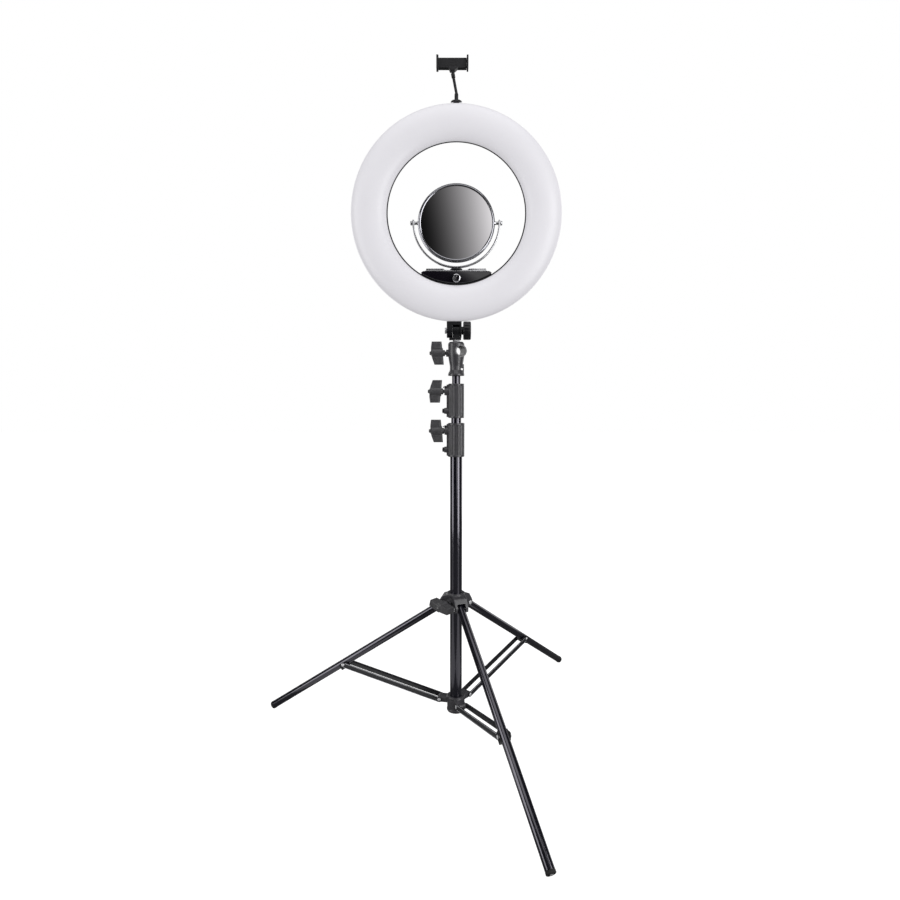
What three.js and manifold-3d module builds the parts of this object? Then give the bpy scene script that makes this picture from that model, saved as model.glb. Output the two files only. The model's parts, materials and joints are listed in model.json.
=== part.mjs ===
// Ring light on a folding stand: three-section mast, tripod base with braces, tilting
// ring head with controls, a two-sided mirror and a phone holder on a gooseneck.
// Millimetres, +Z up, the ring faces -Y, the floor is z = 0.

import * as THREE from 'three';
import { mergeVertices } from 'three/addons/utils/BufferGeometryUtils.js';
import ManifoldModule from 'manifold-3d';

const wasm = await ManifoldModule();
wasm.setup();

// ---- driving dimensions -----------------------------------------------------------

const GAP = 0.3; // between pieces that touch or turn in each other
const ROUND = 20; // sides of an ordinary round part
const FINE = 26; // sides of a larger round part
const RING_SIDES = 56; // steps round the ring head

const BASE_TUBE = { radius: 14, wall: 1.2, bottom: 49, top: 702 };
const MID_TUBE = { radius: 11.5, wall: 1.1, bottom: 75, top: 790 };
const TOP_TUBE = { radius: 9.5, wall: 1.2, bottom: 80, top: 880 };

const LEG_AZIMUTHS = { front: -71.2, right: 48.8, left: 168.8 };
const HUB_KNOB_AZIMUTH = -131.2; // midway between the front and left legs
const LEG = { radius: 9, wall: 1, length: 530, lean: 56.04, overhang: 8, pinRadius: 3 };
const FOOT = { endHeight: 7.8, radius: 9.4, reach: 3, length: 21, flange: 5.7 };
const LEG_PIVOT = { radius: 34, height: LEG.length * Math.cos(rad(LEG.lean)) + FOOT.endHeight };
const BRACE_PIVOT = { radius: 38.4, height: 72 };
const LOWER_HUB = { radius: 21, bottom: 45, top: 82, lugRadius: 6.5, lugHalf: 10.7 };
const LEG_HUB = { radius: 20.5, bottom: -7, top: 30, armHalf: 16, slotHalf: 9.4, knobRise: 9 };
const BRACE_ON_LEG = { along: 298, below: 1.5 };
const BRACE_BAR = { inner: 11.05, outer: 13.65, halfHeight: 6, flange: 1.4, web: 1.4 };
const RIVET_RADIUS = 2.5;

const LOWER_COLLAR = { radius: 18.6, bottom: 655, top: 732, knobHeight: 714, knobInner: 31 };
const UPPER_COLLAR = { radius: 17.4, bottom: 744, top: 822, knobHeight: 804.5, knobInner: 33 };
const HEAD = { radius: 18.6, bottom: 840, top: 916, knobHeight: 891, knobInner: 29 };
const HEAD_RECEIVER = { radius: 10.5, height: 895.5, x: 5, yaw: 20, boss: 14.5, bossHalf: 16 };
const SCREW_RADIUS = 4;

const STUD = { radius: 4.75, bottom: 907.5, top: 936, nutTop: 920.7 };
const TILT_AXIS_HEIGHT = 941.5;
const RING_CENTRE_HEIGHT = 1196;
const RING = { outer: 234, inner: 152, innerBack: 165.5, frontEdge: -8, front: -30, back: 22 };
const TILT_Z = TILT_AXIS_HEIGHT - RING_CENTRE_HEIGHT;

const PANEL = { radius: 151.2, top: -125, halfWidth: 79, front: -15, back: 20, wall: 2.2 };
const DIMMER = { radius: 9, z: -141.8, potRadius: 6.5 };
const MIRROR = { z: -18, radius: 86, glass: 81, window: 79.5, yokeInner: 94, yokeOuter: 98 };
const SHOE = { y: 10, z: 235 };
const HOLDER_CLAMP = { halfWidth: 31.5, bottom: 5, top: 26, jawDepth: 12 };
const NECK_LEAN = 11; // degrees that the gooseneck leans to -X

const feetRadius = LEG_PIVOT.radius + LEG.length * Math.sin(rad(LEG.lean));
const footX = Object.values(LEG_AZIMUTHS).map((a) => feetRadius * Math.cos(rad(a)));
const footY = Object.values(LEG_AZIMUTHS).map((a) => feetRadius * Math.sin(rad(a)));
// The origin is the middle of the footprint, so the mast stands a little off it.
const MAST_X = -(Math.min(...footX) + Math.max(...footX)) / 2;
const MAST_Y = -(Math.min(...footY) + Math.max(...footY)) / 2;

// ---- materials ----------------------------------------------------------------------

const finish = (color, roughness, metalness) =>
  new THREE.MeshStandardMaterial({ color, roughness, metalness });
const MATERIALS = {
  blackTube: () => finish(0x101014, 0.25, 0.3),
  casting: () => finish(0x48484b, 0.55, 0.1),
  blackPlastic: () => finish(0x121214, 0.5, 0),
  glossPanel: () => finish(0x08080a, 0.12, 0),
  steel: () => finish(0xb8b8bc, 0.3, 1),
  chrome: () => finish(0xd8d8dc, 0.08, 1),
  rubber: () => finish(0x161616, 0.8, 0),
  diffuser: () => finish(0xf1eff6, 0.5, 0),
  board: () => finish(0x1f5a35, 0.5, 0),
  aluminium: () => finish(0xc9cacd, 0.35, 1),
  mirror: () => finish(0xe6e8ea, 0.02, 1),
};

// ---- shape helpers ------------------------------------------------------------------

function rad(degrees) {
  return (degrees * Math.PI) / 180;
}

function signedVolume(position, index) {
  const [a, b, c] = [new THREE.Vector3(), new THREE.Vector3(), new THREE.Vector3()];
  let sum = 0;
  for (let i = 0; i < index.length; i += 3) {
    a.fromBufferAttribute(position, index[i]);
    b.fromBufferAttribute(position, index[i + 1]);
    c.fromBufferAttribute(position, index[i + 2]);
    sum += a.dot(b.cross(c)) / 6;
  }
  return sum;
}

// A closed geometry as a manifold solid whose faces point out.
function solidOf(geometry) {
  const bare = geometry.clone();
  bare.deleteAttribute('normal');
  bare.deleteAttribute('uv');
  const merged = mergeVertices(bare, 1e-4);
  const position = merged.getAttribute('position');
  const corners = [];
  for (let i = 0; i < merged.index.count; i += 3) {
    const [a, b, c] = [0, 1, 2].map((n) => merged.index.getX(i + n));
    if (a !== b && b !== c && c !== a) corners.push(a, b, c);
  }
  if (signedVolume(position, corners) < 0) corners.reverse();
  const mesh = new wasm.Mesh({
    numProp: 3,
    vertProperties: new Float32Array(position.array),
    triVerts: new Uint32Array(corners),
  });
  mesh.merge();
  return new wasm.Manifold(mesh);
}

function geometryOf(solid) {
  const { vertProperties, triVerts } = solid.getMesh();
  const geometry = new THREE.BufferGeometry();
  geometry.setAttribute('position', new THREE.BufferAttribute(vertProperties, 3));
  geometry.setIndex(new THREE.BufferAttribute(triVerts, 1));
  geometry.computeVertexNormals();
  return geometry;
}

const join = (first, ...rest) =>
  geometryOf(rest.reduce((solid, g) => solid.add(solidOf(g)), solidOf(first)));
const cut = (first, ...tools) =>
  geometryOf(tools.reduce((solid, g) => solid.subtract(solidOf(g)), solidOf(first)));

function block(x, y, z) {
  const box = new THREE.BoxGeometry(x[1] - x[0], y[1] - y[0], z[1] - z[0]);
  return box.translate((x[0] + x[1]) / 2, (y[0] + y[1]) / 2, (z[0] + z[1]) / 2);
}

// A rod along X, Y or Z between two places on that axis.
function rod(axis, radius, from, to, sides = ROUND, farRadius = radius) {
  const g = new THREE.CylinderGeometry(farRadius, radius, to - from, sides);
  g.translate(0, (from + to) / 2, 0);
  if (axis === 'z') g.rotateX(Math.PI / 2);
  if (axis === 'x') g.rotateZ(-Math.PI / 2);
  return g;
}

// A closed [radius, height] profile turned about X, Y or Z.
function turned(axis, profile, sides = FINE) {
  const points = profile.map(([r, h]) => new THREE.Vector2(r, h));
  const g = new THREE.LatheGeometry(points, sides);
  if (axis === 'z') g.rotateX(Math.PI / 2);
  if (axis === 'x') g.rotateZ(-Math.PI / 2);
  return g;
}

const closedProfile = (points) => [...points, points[0]];

function pipe(axis, radius, wall, from, to, sides = ROUND) {
  const inner = radius - wall;
  const profile = [[inner, from], [radius, from], [radius, to], [inner, to]];
  return turned(axis, closedProfile(profile), sides);
}

function outline(points) {
  return new THREE.Shape(points.map(([u, v]) => new THREE.Vector2(u, v)));
}

// An outline in the X-Z plane, from one y to another.
function slabY(shape, from, to, curveSegments = 12) {
  const g = new THREE.ExtrudeGeometry(shape, {
    depth: to - from,
    bevelEnabled: false,
    curveSegments,
  });
  return g.rotateX(Math.PI / 2).translate(0, to, 0);
}

// An outline in the Y-Z plane, from one x to another.
function slabX(shape, from, to, curveSegments = 12) {
  const g = new THREE.ExtrudeGeometry(shape, {
    depth: to - from,
    bevelEnabled: false,
    curveSegments,
  });
  return g.rotateX(Math.PI / 2).rotateZ(Math.PI / 2).translate(from, 0, 0);
}

// An outline in the X-Y plane, from one height to another.
function slabZ(shape, from, to, curveSegments = 12) {
  const g = new THREE.ExtrudeGeometry(shape, {
    depth: to - from,
    bevelEnabled: false,
    curveSegments,
  });
  return g.translate(0, 0, from);
}

function stadium(from, to, radius) {
  const shape = new THREE.Shape();
  shape.moveTo(from, -radius);
  shape.lineTo(to, -radius);
  shape.absarc(to, 0, radius, -Math.PI / 2, Math.PI / 2, false);
  shape.lineTo(from, radius);
  shape.absarc(from, 0, radius, Math.PI / 2, (3 * Math.PI) / 2, false);
  return shape;
}

function mesh(name, geometry, material) {
  const clean = geometryOf(solidOf(geometry));
  const node = new THREE.Mesh(clean, material());
  node.name = name;
  return node;
}

function groupAt(x, y, z, children) {
  const group = new THREE.Group();
  group.position.set(x, y, z);
  group.add(...children);
  return group;
}

// ---- tripod -------------------------------------------------------------------------

// A leg's frame: origin on its pivot, +X down the leg, +Z its upper side.
function makeLeg(name) {
  const end = LEG.length;
  const capEnd = end + FOOT.reach;
  const tubeEnd = capEnd - FOOT.flange - GAP;
  const legPinHole = rod('y', LEG.pinRadius + GAP, -20, 20, 16);
  const rivetHole = rod('y', RIVET_RADIUS + GAP, -20, 20, 12);
  rivetHole.translate(BRACE_ON_LEG.along, 0, -BRACE_ON_LEG.below);
  const tube = cut(
    pipe('x', LEG.radius, LEG.wall, -LEG.overhang, tubeEnd),
    legPinHole,
    rivetHole,
  );
  // The foot is a plug in the tube's end, with a flange cut flat where it stands.
  const plug = LEG.radius - LEG.wall - GAP;
  const flangeStart = capEnd - FOOT.flange;
  const cap = turned('x', [
    [0, capEnd - FOOT.length], [plug - 1, capEnd - FOOT.length], [plug, capEnd - FOOT.length + 2],
    [plug, flangeStart], [FOOT.radius, flangeStart], [FOOT.radius, capEnd - 1.5],
    [FOOT.radius - 1.5, capEnd], [0, capEnd],
  ], ROUND);
  const floor = block([-2000, 2000], [-100, 100], [-100, 0]);
  floor.translate(0, 0, -LEG_PIVOT.height).rotateY(-rad(90 - LEG.lean));
  const along = BRACE_ON_LEG.along;
  const clip = cut(
    block([along - 11, along + 11], [-10.75, 10.75], [-12.5, 3]),
    rod('x', LEG.radius + GAP, along - 20, along + 20),
    rivetHole,
  );
  const clipRivet = rod('y', RIVET_RADIUS, -10.6, 10.6, 12);
  clipRivet.translate(along, 0, -BRACE_ON_LEG.below);
  const leg = groupAt(LEG_PIVOT.radius, 0, LEG_PIVOT.height, [
    mesh(`leg_tube_${name}`, tube, MATERIALS.blackTube),
    mesh(`foot_cap_${name}`, cut(cap, floor), MATERIALS.rubber),
    mesh(`brace_clip_${name}`, clip, MATERIALS.blackPlastic),
    mesh(`clip_rivet_${name}`, clipRivet, MATERIALS.steel),
  ]);
  leg.rotation.y = rad(90 - LEG.lean);
  return leg;
}

// A brace's frame: origin on its lower pivot, +X up along it to the leg.
function makeBrace(name) {
  const lean = rad(LEG.lean);
  const reach = LEG_PIVOT.radius + BRACE_ON_LEG.along * Math.sin(lean)
    - BRACE_ON_LEG.below * Math.cos(lean) - BRACE_PIVOT.radius;
  const rise = LEG_PIVOT.height - BRACE_ON_LEG.along * Math.cos(lean)
    - BRACE_ON_LEG.below * Math.sin(lean) - BRACE_PIVOT.height;
  const length = Math.hypot(reach, rise);
  const { inner, outer, halfHeight, flange, web } = BRACE_BAR;
  const solids = [];
  for (const side of [-1, 1]) {
    const faces = [side * inner, side * outer].sort((a, b) => a - b);
    const bar = slabY(stadium(0, length, halfHeight), ...faces, 5);
    const hollow = [side * (inner + web), side * (outer + 1)].sort((a, b) => a - b);
    const channel = block([12, length - 12], hollow, [flange - halfHeight, halfHeight - flange]);
    solids.push(cut(bar, channel));
    const head = [side * (outer - 0.2), side * (outer + 1.2)].sort((a, b) => a - b);
    for (const x of [0, length]) {
      solids.push(rod('y', 4, ...head, 12).translate(x, 0, 0));
    }
  }
  solids.push(rod('y', RIVET_RADIUS, -inner - 0.5, inner + 0.5, 12));
  const brace = groupAt(BRACE_PIVOT.radius, 0, BRACE_PIVOT.height, [
    mesh(`brace_${name}`, join(...solids), MATERIALS.blackTube),
  ]);
  brace.rotation.y = -Math.atan2(rise, reach);
  return brace;
}

function makeLegPin(name) {
  const halfWidth = LEG_HUB.armHalf;
  const pin = join(
    rod('y', LEG.pinRadius, -halfWidth - 1, halfWidth + 1, 16),
    rod('y', 4.8, halfWidth + GAP, halfWidth + 1.6, 16),
    rod('y', 4.8, -halfWidth - 1.6, -halfWidth - GAP, 16),
  );
  return groupAt(LEG_PIVOT.radius, 0, LEG_PIVOT.height, [
    mesh(`leg_pin_${name}`, pin, MATERIALS.steel),
  ]);
}

// The casting that slides on the base tube and carries the legs between its cheeks.
function makeLegHub() {
  const collar = rod('z', LEG_HUB.radius, LEG_HUB.bottom, LEG_HUB.top, FINE);
  const armSide = outline([[12, -7], [34, -9], [42, -5], [42.5, 5], [31, 23], [12, 29]]);
  const solids = [collar];
  const tools = [rod('z', BASE_TUBE.radius + GAP, -20, 40, FINE)];
  for (const azimuth of Object.values(LEG_AZIMUTHS)) {
    const turn = rad(azimuth);
    solids.push(slabY(armSide, -LEG_HUB.armHalf, LEG_HUB.armHalf).rotateZ(turn));
    const slot = block([21.4, 60], [-LEG_HUB.slotHalf, LEG_HUB.slotHalf], [-20, 12.8]);
    tools.push(slot.rotateZ(turn));
    const pinHole = rod('y', LEG.pinRadius + GAP, -20, 20, 16).translate(LEG_PIVOT.radius, 0, 0);
    tools.push(pinHole.rotateZ(turn));
  }
  const knobTurn = rad(HUB_KNOB_AZIMUTH);
  const boss = rod('x', 9, 10, 31, 20).translate(0, 0, LEG_HUB.knobRise);
  const screwHole = rod('x', SCREW_RADIUS + GAP, 10, 40, 16).translate(0, 0, LEG_HUB.knobRise);
  solids.push(boss.rotateZ(knobTurn));
  tools.push(screwHole.rotateZ(knobTurn));
  return groupAt(0, 0, LEG_PIVOT.height, [
    mesh('leg_hub', cut(join(...solids), ...tools), MATERIALS.casting),
  ]);
}

// The casting fixed to the foot of the base tube, with a lug for each brace.
function makeLowerHub() {
  const height = BRACE_PIVOT.height;
  const tabEnd = BRACE_PIVOT.radius;
  const { radius, bottom, top, lugRadius, lugHalf } = LOWER_HUB;
  const solids = [rod('z', radius, bottom, top, FINE)];
  const tools = [rod('z', BASE_TUBE.radius + GAP, BASE_TUBE.bottom - GAP, 90, FINE)];
  for (const azimuth of Object.values(LEG_AZIMUTHS)) {
    const turn = rad(azimuth);
    const lug = slabY(stadium(12, tabEnd, lugRadius), -lugHalf, lugHalf, 6);
    lug.translate(0, 0, height);
    solids.push(lug.rotateZ(turn));
    const hole = rod('y', RIVET_RADIUS + GAP, -20, 20, 12).translate(tabEnd, 0, height);
    tools.push(hole.rotateZ(turn));
  }
  return mesh('lower_hub', cut(join(...solids), ...tools), MATERIALS.casting);
}

// ---- mast ---------------------------------------------------------------------------

// A wing knob on a screw. Its frame: +X away from the mast, origin on the inner face.
// The wing is turned about its screw by some degrees from its upright rest.
function wingKnobAt(name, height, inner, screwTip, azimuth, spin) {
  const wing = outline([
    [4.2, 25.7], [26.5, 25.7], [28.3, 12], [28, 0], [25.5, -12],
    [20.5, -25.7], [-0.8, -25.7], [0.3, -10], [2.6, 10],
  ]);
  const solids = [
    slabY(wing, -7.5, 7.5),
    rod('x', 11, 1, 25, 20),
    rod('x', 4, 24, 30.5, 12),
    rod('x', 7, -3.5, 2, 16),
    rod('x', SCREW_RADIUS, screwTip - inner, 2, 16),
  ];
  const knob = mesh(name, join(...solids), MATERIALS.casting);
  knob.rotation.x = rad(spin);
  const turn = rad(azimuth);
  const group = groupAt(inner * Math.cos(turn), inner * Math.sin(turn), height, [knob]);
  group.rotation.z = turn;
  return group;
}

// A collar that grips one tube in its lower half and lets the next slide in its upper.
function makeCollar(name, size, lower, upper) {
  const split = size.bottom + 48;
  const earHeight = size.bottom + 16;
  const solids = [
    rod('z', size.radius, size.bottom, size.top, FINE),
    rod('x', 9, -27, -10, 20).translate(0, 0, size.knobHeight),
    rod('x', 7, -27.5, -10, 16).translate(0, 0, earHeight),
    block([-22, -10], [-5, 5], [size.bottom + 2, size.top - 2]),
  ];
  const tools = [
    rod('z', lower.radius + GAP, size.bottom - 5, split, FINE),
    rod('z', upper.radius + GAP, split - 5, size.top + 5, FINE),
    rod('x', SCREW_RADIUS + GAP, -40, -5, 16).translate(0, 0, size.knobHeight),
  ];
  return mesh(name, cut(join(...solids), ...tools), MATERIALS.casting);
}

function makeHead() {
  const { radius, bottom, top, knobHeight } = HEAD;
  const body = turned('z', [
    [0, bottom], [radius, bottom], [radius, bottom + 4], [14.5, bottom + 13],
    [14.5, bottom + 21], [17.5, bottom + 38], [radius, bottom + 46], [radius, top - 4],
    [radius - 3, top], [0, top],
  ]);
  const across = (radius, half) =>
    rod('y', radius, -half, half, 20)
      .rotateZ(rad(HEAD_RECEIVER.yaw))
      .translate(HEAD_RECEIVER.x, 0, HEAD_RECEIVER.height);
  const ear = block([6, 17.5], [-6, 6], [bottom + 2, bottom + 26]);
  const boss = across(HEAD_RECEIVER.boss, HEAD_RECEIVER.bossHalf);
  const solids = [body, boss, ear, rod('x', 8, -23, -8, 20).translate(0, 0, knobHeight)];
  const tools = [
    rod('z', TOP_TUBE.radius + GAP, bottom - 5, TOP_TUBE.top + GAP, FINE),
    across(HEAD_RECEIVER.radius, 40),
    rod('x', SCREW_RADIUS + GAP, -40, -2, 16).translate(0, 0, knobHeight),
    rod('y', 2.7, -20, 20, 12).translate(13, 0, bottom + 15),
    rod('z', STUD.radius + GAP, STUD.bottom - GAP, top + 5, 20),
  ];
  return mesh('head_casting', cut(join(...solids), ...tools), MATERIALS.casting);
}

function makeMast() {
  return [
    mesh('base_tube', pipe('z', BASE_TUBE.radius, BASE_TUBE.wall, BASE_TUBE.bottom,
      BASE_TUBE.top), MATERIALS.blackTube),
    mesh('mid_tube', pipe('z', MID_TUBE.radius, MID_TUBE.wall, MID_TUBE.bottom,
      MID_TUBE.top), MATERIALS.blackTube),
    mesh('top_tube', pipe('z', TOP_TUBE.radius, TOP_TUBE.wall, TOP_TUBE.bottom,
      TOP_TUBE.top), MATERIALS.blackTube),
    makeCollar('lower_collar', LOWER_COLLAR, BASE_TUBE, MID_TUBE),
    makeCollar('upper_collar', UPPER_COLLAR, MID_TUBE, TOP_TUBE),
    makeHead(),
    wingKnobAt('hub_knob', LEG_PIVOT.height + LEG_HUB.knobRise, 38, BASE_TUBE.radius + 0.5,
      HUB_KNOB_AZIMUTH, 75),
    wingKnobAt('lower_collar_knob', LOWER_COLLAR.knobHeight, LOWER_COLLAR.knobInner,
      MID_TUBE.radius + 0.5, 180, 0),
    wingKnobAt('upper_collar_knob', UPPER_COLLAR.knobHeight, UPPER_COLLAR.knobInner,
      TOP_TUBE.radius + 0.5, 180, 180),
    wingKnobAt('head_knob', HEAD.knobHeight, HEAD.knobInner, 6, 180, 0),
  ];
}

// ---- tilt joint ---------------------------------------------------------------------

const TONGUE_HALF = 8;
const FORK = { left: -21.4, right: 12, radius: 16 };

function makeTiltBase() {
  const axis = TILT_AXIS_HEIGHT;
  const solids = [
    rod('x', 13, -TONGUE_HALF, TONGUE_HALF).translate(0, 0, axis),
    block([-TONGUE_HALF, TONGUE_HALF], [-10, 10], [STUD.nutTop + GAP, axis]),
    block([-16, 11], [-12, 12], [STUD.nutTop + GAP, axis - FORK.radius - 0.5]),
  ];
  const tools = [
    rod('x', SCREW_RADIUS + GAP, -20, 20, 16).translate(0, 0, axis),
    rod('z', STUD.radius + GAP, 915, STUD.top + GAP, 20),
  ];
  return mesh('tilt_base', cut(join(...solids), ...tools), MATERIALS.blackPlastic);
}

function makeStud() {
  const stud = join(
    rod('z', STUD.radius, STUD.bottom, STUD.top, 20),
    rod('z', 8, HEAD.top + GAP, STUD.nutTop, 6),
  );
  return mesh('head_stud', stud, MATERIALS.steel);
}

// The fork under the ring, in the ring's frame.
function makeRingBracket() {
  const z = TILT_Z;
  const shape = new THREE.Shape();
  const underRing = -RING.outer - 1;
  shape.moveTo(-14, underRing);
  shape.lineTo(-FORK.radius, z);
  shape.absarc(0, z, FORK.radius, Math.PI, 2 * Math.PI, false);
  shape.lineTo(26.5, underRing - 3);
  shape.lineTo(26.5, -200);
  shape.lineTo(RING.back + 0.4, -200);
  shape.lineTo(RING.back + 0.4, underRing);
  const fork = cut(
    slabX(shape, FORK.left, FORK.right),
    rod('x', 13.6, -TONGUE_HALF - GAP, TONGUE_HALF + GAP).translate(0, 0, z),
    block([-TONGUE_HALF - GAP, TONGUE_HALF + GAP], [-40, 20], [z - 40, z + 11.5]),
    rod('x', SCREW_RADIUS + GAP, -40, 40, 16).translate(0, 0, z),
  );
  return mesh('ring_bracket', fork, MATERIALS.blackPlastic);
}

function makeTiltBolt() {
  const bolt = join(
    rod('x', SCREW_RADIUS, FORK.left - 2, 27, 16),
    rod('x', 7.5, FORK.left - 4.5, FORK.left - GAP, 6),
  ).translate(0, 0, TILT_Z);
  return mesh('tilt_bolt', bolt, MATERIALS.steel);
}

function makeTiltKnob() {
  const ribs = 16;
  const points = [];
  for (let i = 0; i < ribs * 2; i += 1) {
    const angle = (i * Math.PI) / ribs;
    const radius = i % 2 ? 19.2 : 20.6;
    points.push([radius * Math.cos(angle), radius * Math.sin(angle)]);
  }
  const knob = cut(
    join(slabX(outline(points), 16, 33), rod('x', 9, FORK.right + GAP, 17, 20)),
    rod('x', SCREW_RADIUS + GAP, 5, 27.3, 16),
  ).translate(0, 0, TILT_Z);
  return mesh('tilt_knob', knob, MATERIALS.blackPlastic);
}

// ---- ring head, in the ring's frame -------------------------------------------------

function makeDiffuser() {
  const inner = RING.inner + 3;
  const middle = (RING.outer + inner) / 2;
  const half = (RING.outer - inner) / 2;
  const rim = -6;
  const wall = 2.2;
  const steps = 7;
  const arc = (width, depth) =>
    Array.from({ length: steps + 1 }, (_, i) => {
      const t = Math.PI * (1 - i / steps);
      return [middle + width * Math.cos(t), rim - depth * Math.sin(t)];
    });
  const outside = arc(half, rim - RING.front);
  const inside = arc(half - wall, rim - RING.front - wall).reverse();
  const profile = [...outside, [RING.outer, 3], [RING.outer - wall, 3], ...inside];
  return mesh('diffuser', turned('y', closedProfile(profile), RING_SIDES), MATERIALS.diffuser);
}

function makeRearHousing() {
  const wallOuter = RING.outer - 2.5;
  const profile = [
    [wallOuter, -3], [wallOuter, 14], [wallOuter - 7, RING.back],
    [RING.innerBack, RING.back], [RING.inner, RING.frontEdge], [RING.inner + 2.6, RING.frontEdge],
    [RING.inner + 2.6, RING.frontEdge + 2.5], [RING.innerBack + 1.6, RING.back - 2.4],
    [wallOuter - 8, RING.back - 2.4],
    [wallOuter - 2.4, 13], [wallOuter - 2.4, -3],
  ];
  return mesh('rear_housing', turned('y', closedProfile(profile), RING_SIDES),
    MATERIALS.blackPlastic);
}

function makeLedBoard() {
  const profile = [[165, 3], [227, 3], [227, 4.6], [165, 4.6]];
  return mesh('led_board', turned('y', closedProfile(profile), RING_SIDES), MATERIALS.board);
}

// The crescent under the opening: an arc of the ring's inner circle below a flat top.
function crescent(inset) {
  const radius = PANEL.radius - inset;
  const half = PANEL.halfWidth - inset;
  const top = PANEL.top - inset;
  const low = -Math.sqrt(radius ** 2 - half ** 2);
  const shape = new THREE.Shape();
  shape.moveTo(-half + 5, top);
  shape.lineTo(-half, low);
  shape.absarc(0, 0, radius, Math.atan2(low, -half), Math.atan2(low, half), false);
  shape.lineTo(half - 5, top);
  return shape;
}

// The crescent's body: its arc follows the flare of the ring's inner wall.
function flaredCrescent(inset, from, to) {
  const { inner, innerBack, frontEdge, back } = RING;
  const clear = inner - PANEL.radius + inset;
  const slope = (innerBack - inner) / (back - frontEdge);
  const wallAt = (y) => inner - clear + slope * Math.max(0, y - frontEdge);
  const bend = Math.max(from, frontEdge);
  const cone = turned('y', closedProfile([
    [0, from], [wallAt(from), from], [wallAt(bend) + 0.01, bend + 0.01], [wallAt(to), to], [0, to],
  ]), RING_SIDES);
  const half = PANEL.halfWidth - inset;
  const top = PANEL.top - inset;
  const corner = 5;
  const below = slabY(outline([
    [-half, -200], [half, -200], [half, top - corner], [half - corner, top],
    [corner - half, top], [-half, top - corner],
  ]), from, to);
  return geometryOf(solidOf(cone).intersect(solidOf(below)));
}

const SWITCH = { x: -42, z: -134, halfWidth: 8.5, halfHeight: 5 };
const INLET = { x: 40, z: -134, radius: 5.5 };
const SHELF = { halfWidth: 69, thick: 2.5, lip: 12.6, dip: 9.6, dipHalf: 26 };

function makeControls() {
  const { front, back, wall } = PANEL;
  const panelBack = front + 2.7;
  const housing = cut(
    flaredCrescent(0, panelBack + GAP, back),
    flaredCrescent(wall, panelBack - 5, back - wall),
    block([SWITCH.x - 10.3, SWITCH.x + 10.3], [back - 5, back + 5],
      [SWITCH.z - 5.4, SWITCH.z + 5.4]),
    rod('y', INLET.radius + GAP, back - 5, back + 5).translate(INLET.x, 0, INLET.z),
    rod('z', 4.3, PANEL.top - 5, PANEL.top + 5, 16),
  );
  const shaftHole = rod('y', 3.3, front - 5, front + 5, 16).translate(0, 0, DIMMER.z);
  const panel = cut(slabY(crescent(0), front, panelBack, 24), shaftHole);
  const pot = join(
    rod('y', DIMMER.potRadius, panelBack + GAP, -2, 20),
    rod('y', 3, front - 7, panelBack + 1, 16),
  );
  const dial = cut(
    rod('y', DIMMER.radius, front - 10, front - GAP, FINE),
    rod('y', 3.3, front - 7.5, front + 1, 16),
  );
  const half = SWITCH.halfWidth;
  const rocker = slabZ(outline([[-half, -1], [half, -1], [half, 3.2], [0, 3.6], [-half, 6]]),
    -SWITCH.halfHeight, SWITCH.halfHeight);
  const inlet = cut(
    join(rod('y', INLET.radius, 10, back + 1, 20), rod('y', 7, back + GAP, back + 1.6, 20)),
    rod('y', 2.7, 14, back + 5, 16),
  );
  // The shelf's rear lip dips in the middle, where the mirror's yoke swings over it.
  const { halfWidth, thick, lip, dip, dipHalf } = SHELF;
  const plateTop = PANEL.top + thick;
  const lipOver = (x, height) =>
    block(x, [back, back + 2.2], [PANEL.top + GAP, PANEL.top + height]);
  const shelf = join(
    block([-halfWidth, halfWidth], [-9, back + 2.2], [PANEL.top + GAP, plateTop]),
    lipOver([-halfWidth, halfWidth], dip),
    lipOver([-halfWidth, -dipHalf], lip),
    lipOver([dipHalf, halfWidth], lip),
  );
  const shelfPlate = cut(shelf, rod('z', 4.3, PANEL.top - 5, PANEL.top + 5, 16));
  return [
    mesh('control_housing', housing, MATERIALS.blackPlastic),
    mesh('control_panel', panel, MATERIALS.glossPanel),
    mesh('driver_board', block([-36, 36], [4, 5.6], [-143, -129]), MATERIALS.board),
    groupAt(0, 0, DIMMER.z, [
      mesh('dimmer_control', pot, MATERIALS.steel),
      mesh('dimmer_knob', dial, MATERIALS.aluminium),
    ]),
    groupAt(SWITCH.x, back - 2, SWITCH.z, [mesh('power_switch', rocker, MATERIALS.blackPlastic)]),
    groupAt(INLET.x, 0, INLET.z, [mesh('power_inlet', inlet, MATERIALS.blackPlastic)]),
    mesh('shelf_plate', shelfPlate, MATERIALS.aluminium),
  ];
}

// ---- mirror, origin at its centre ---------------------------------------------------

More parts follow.
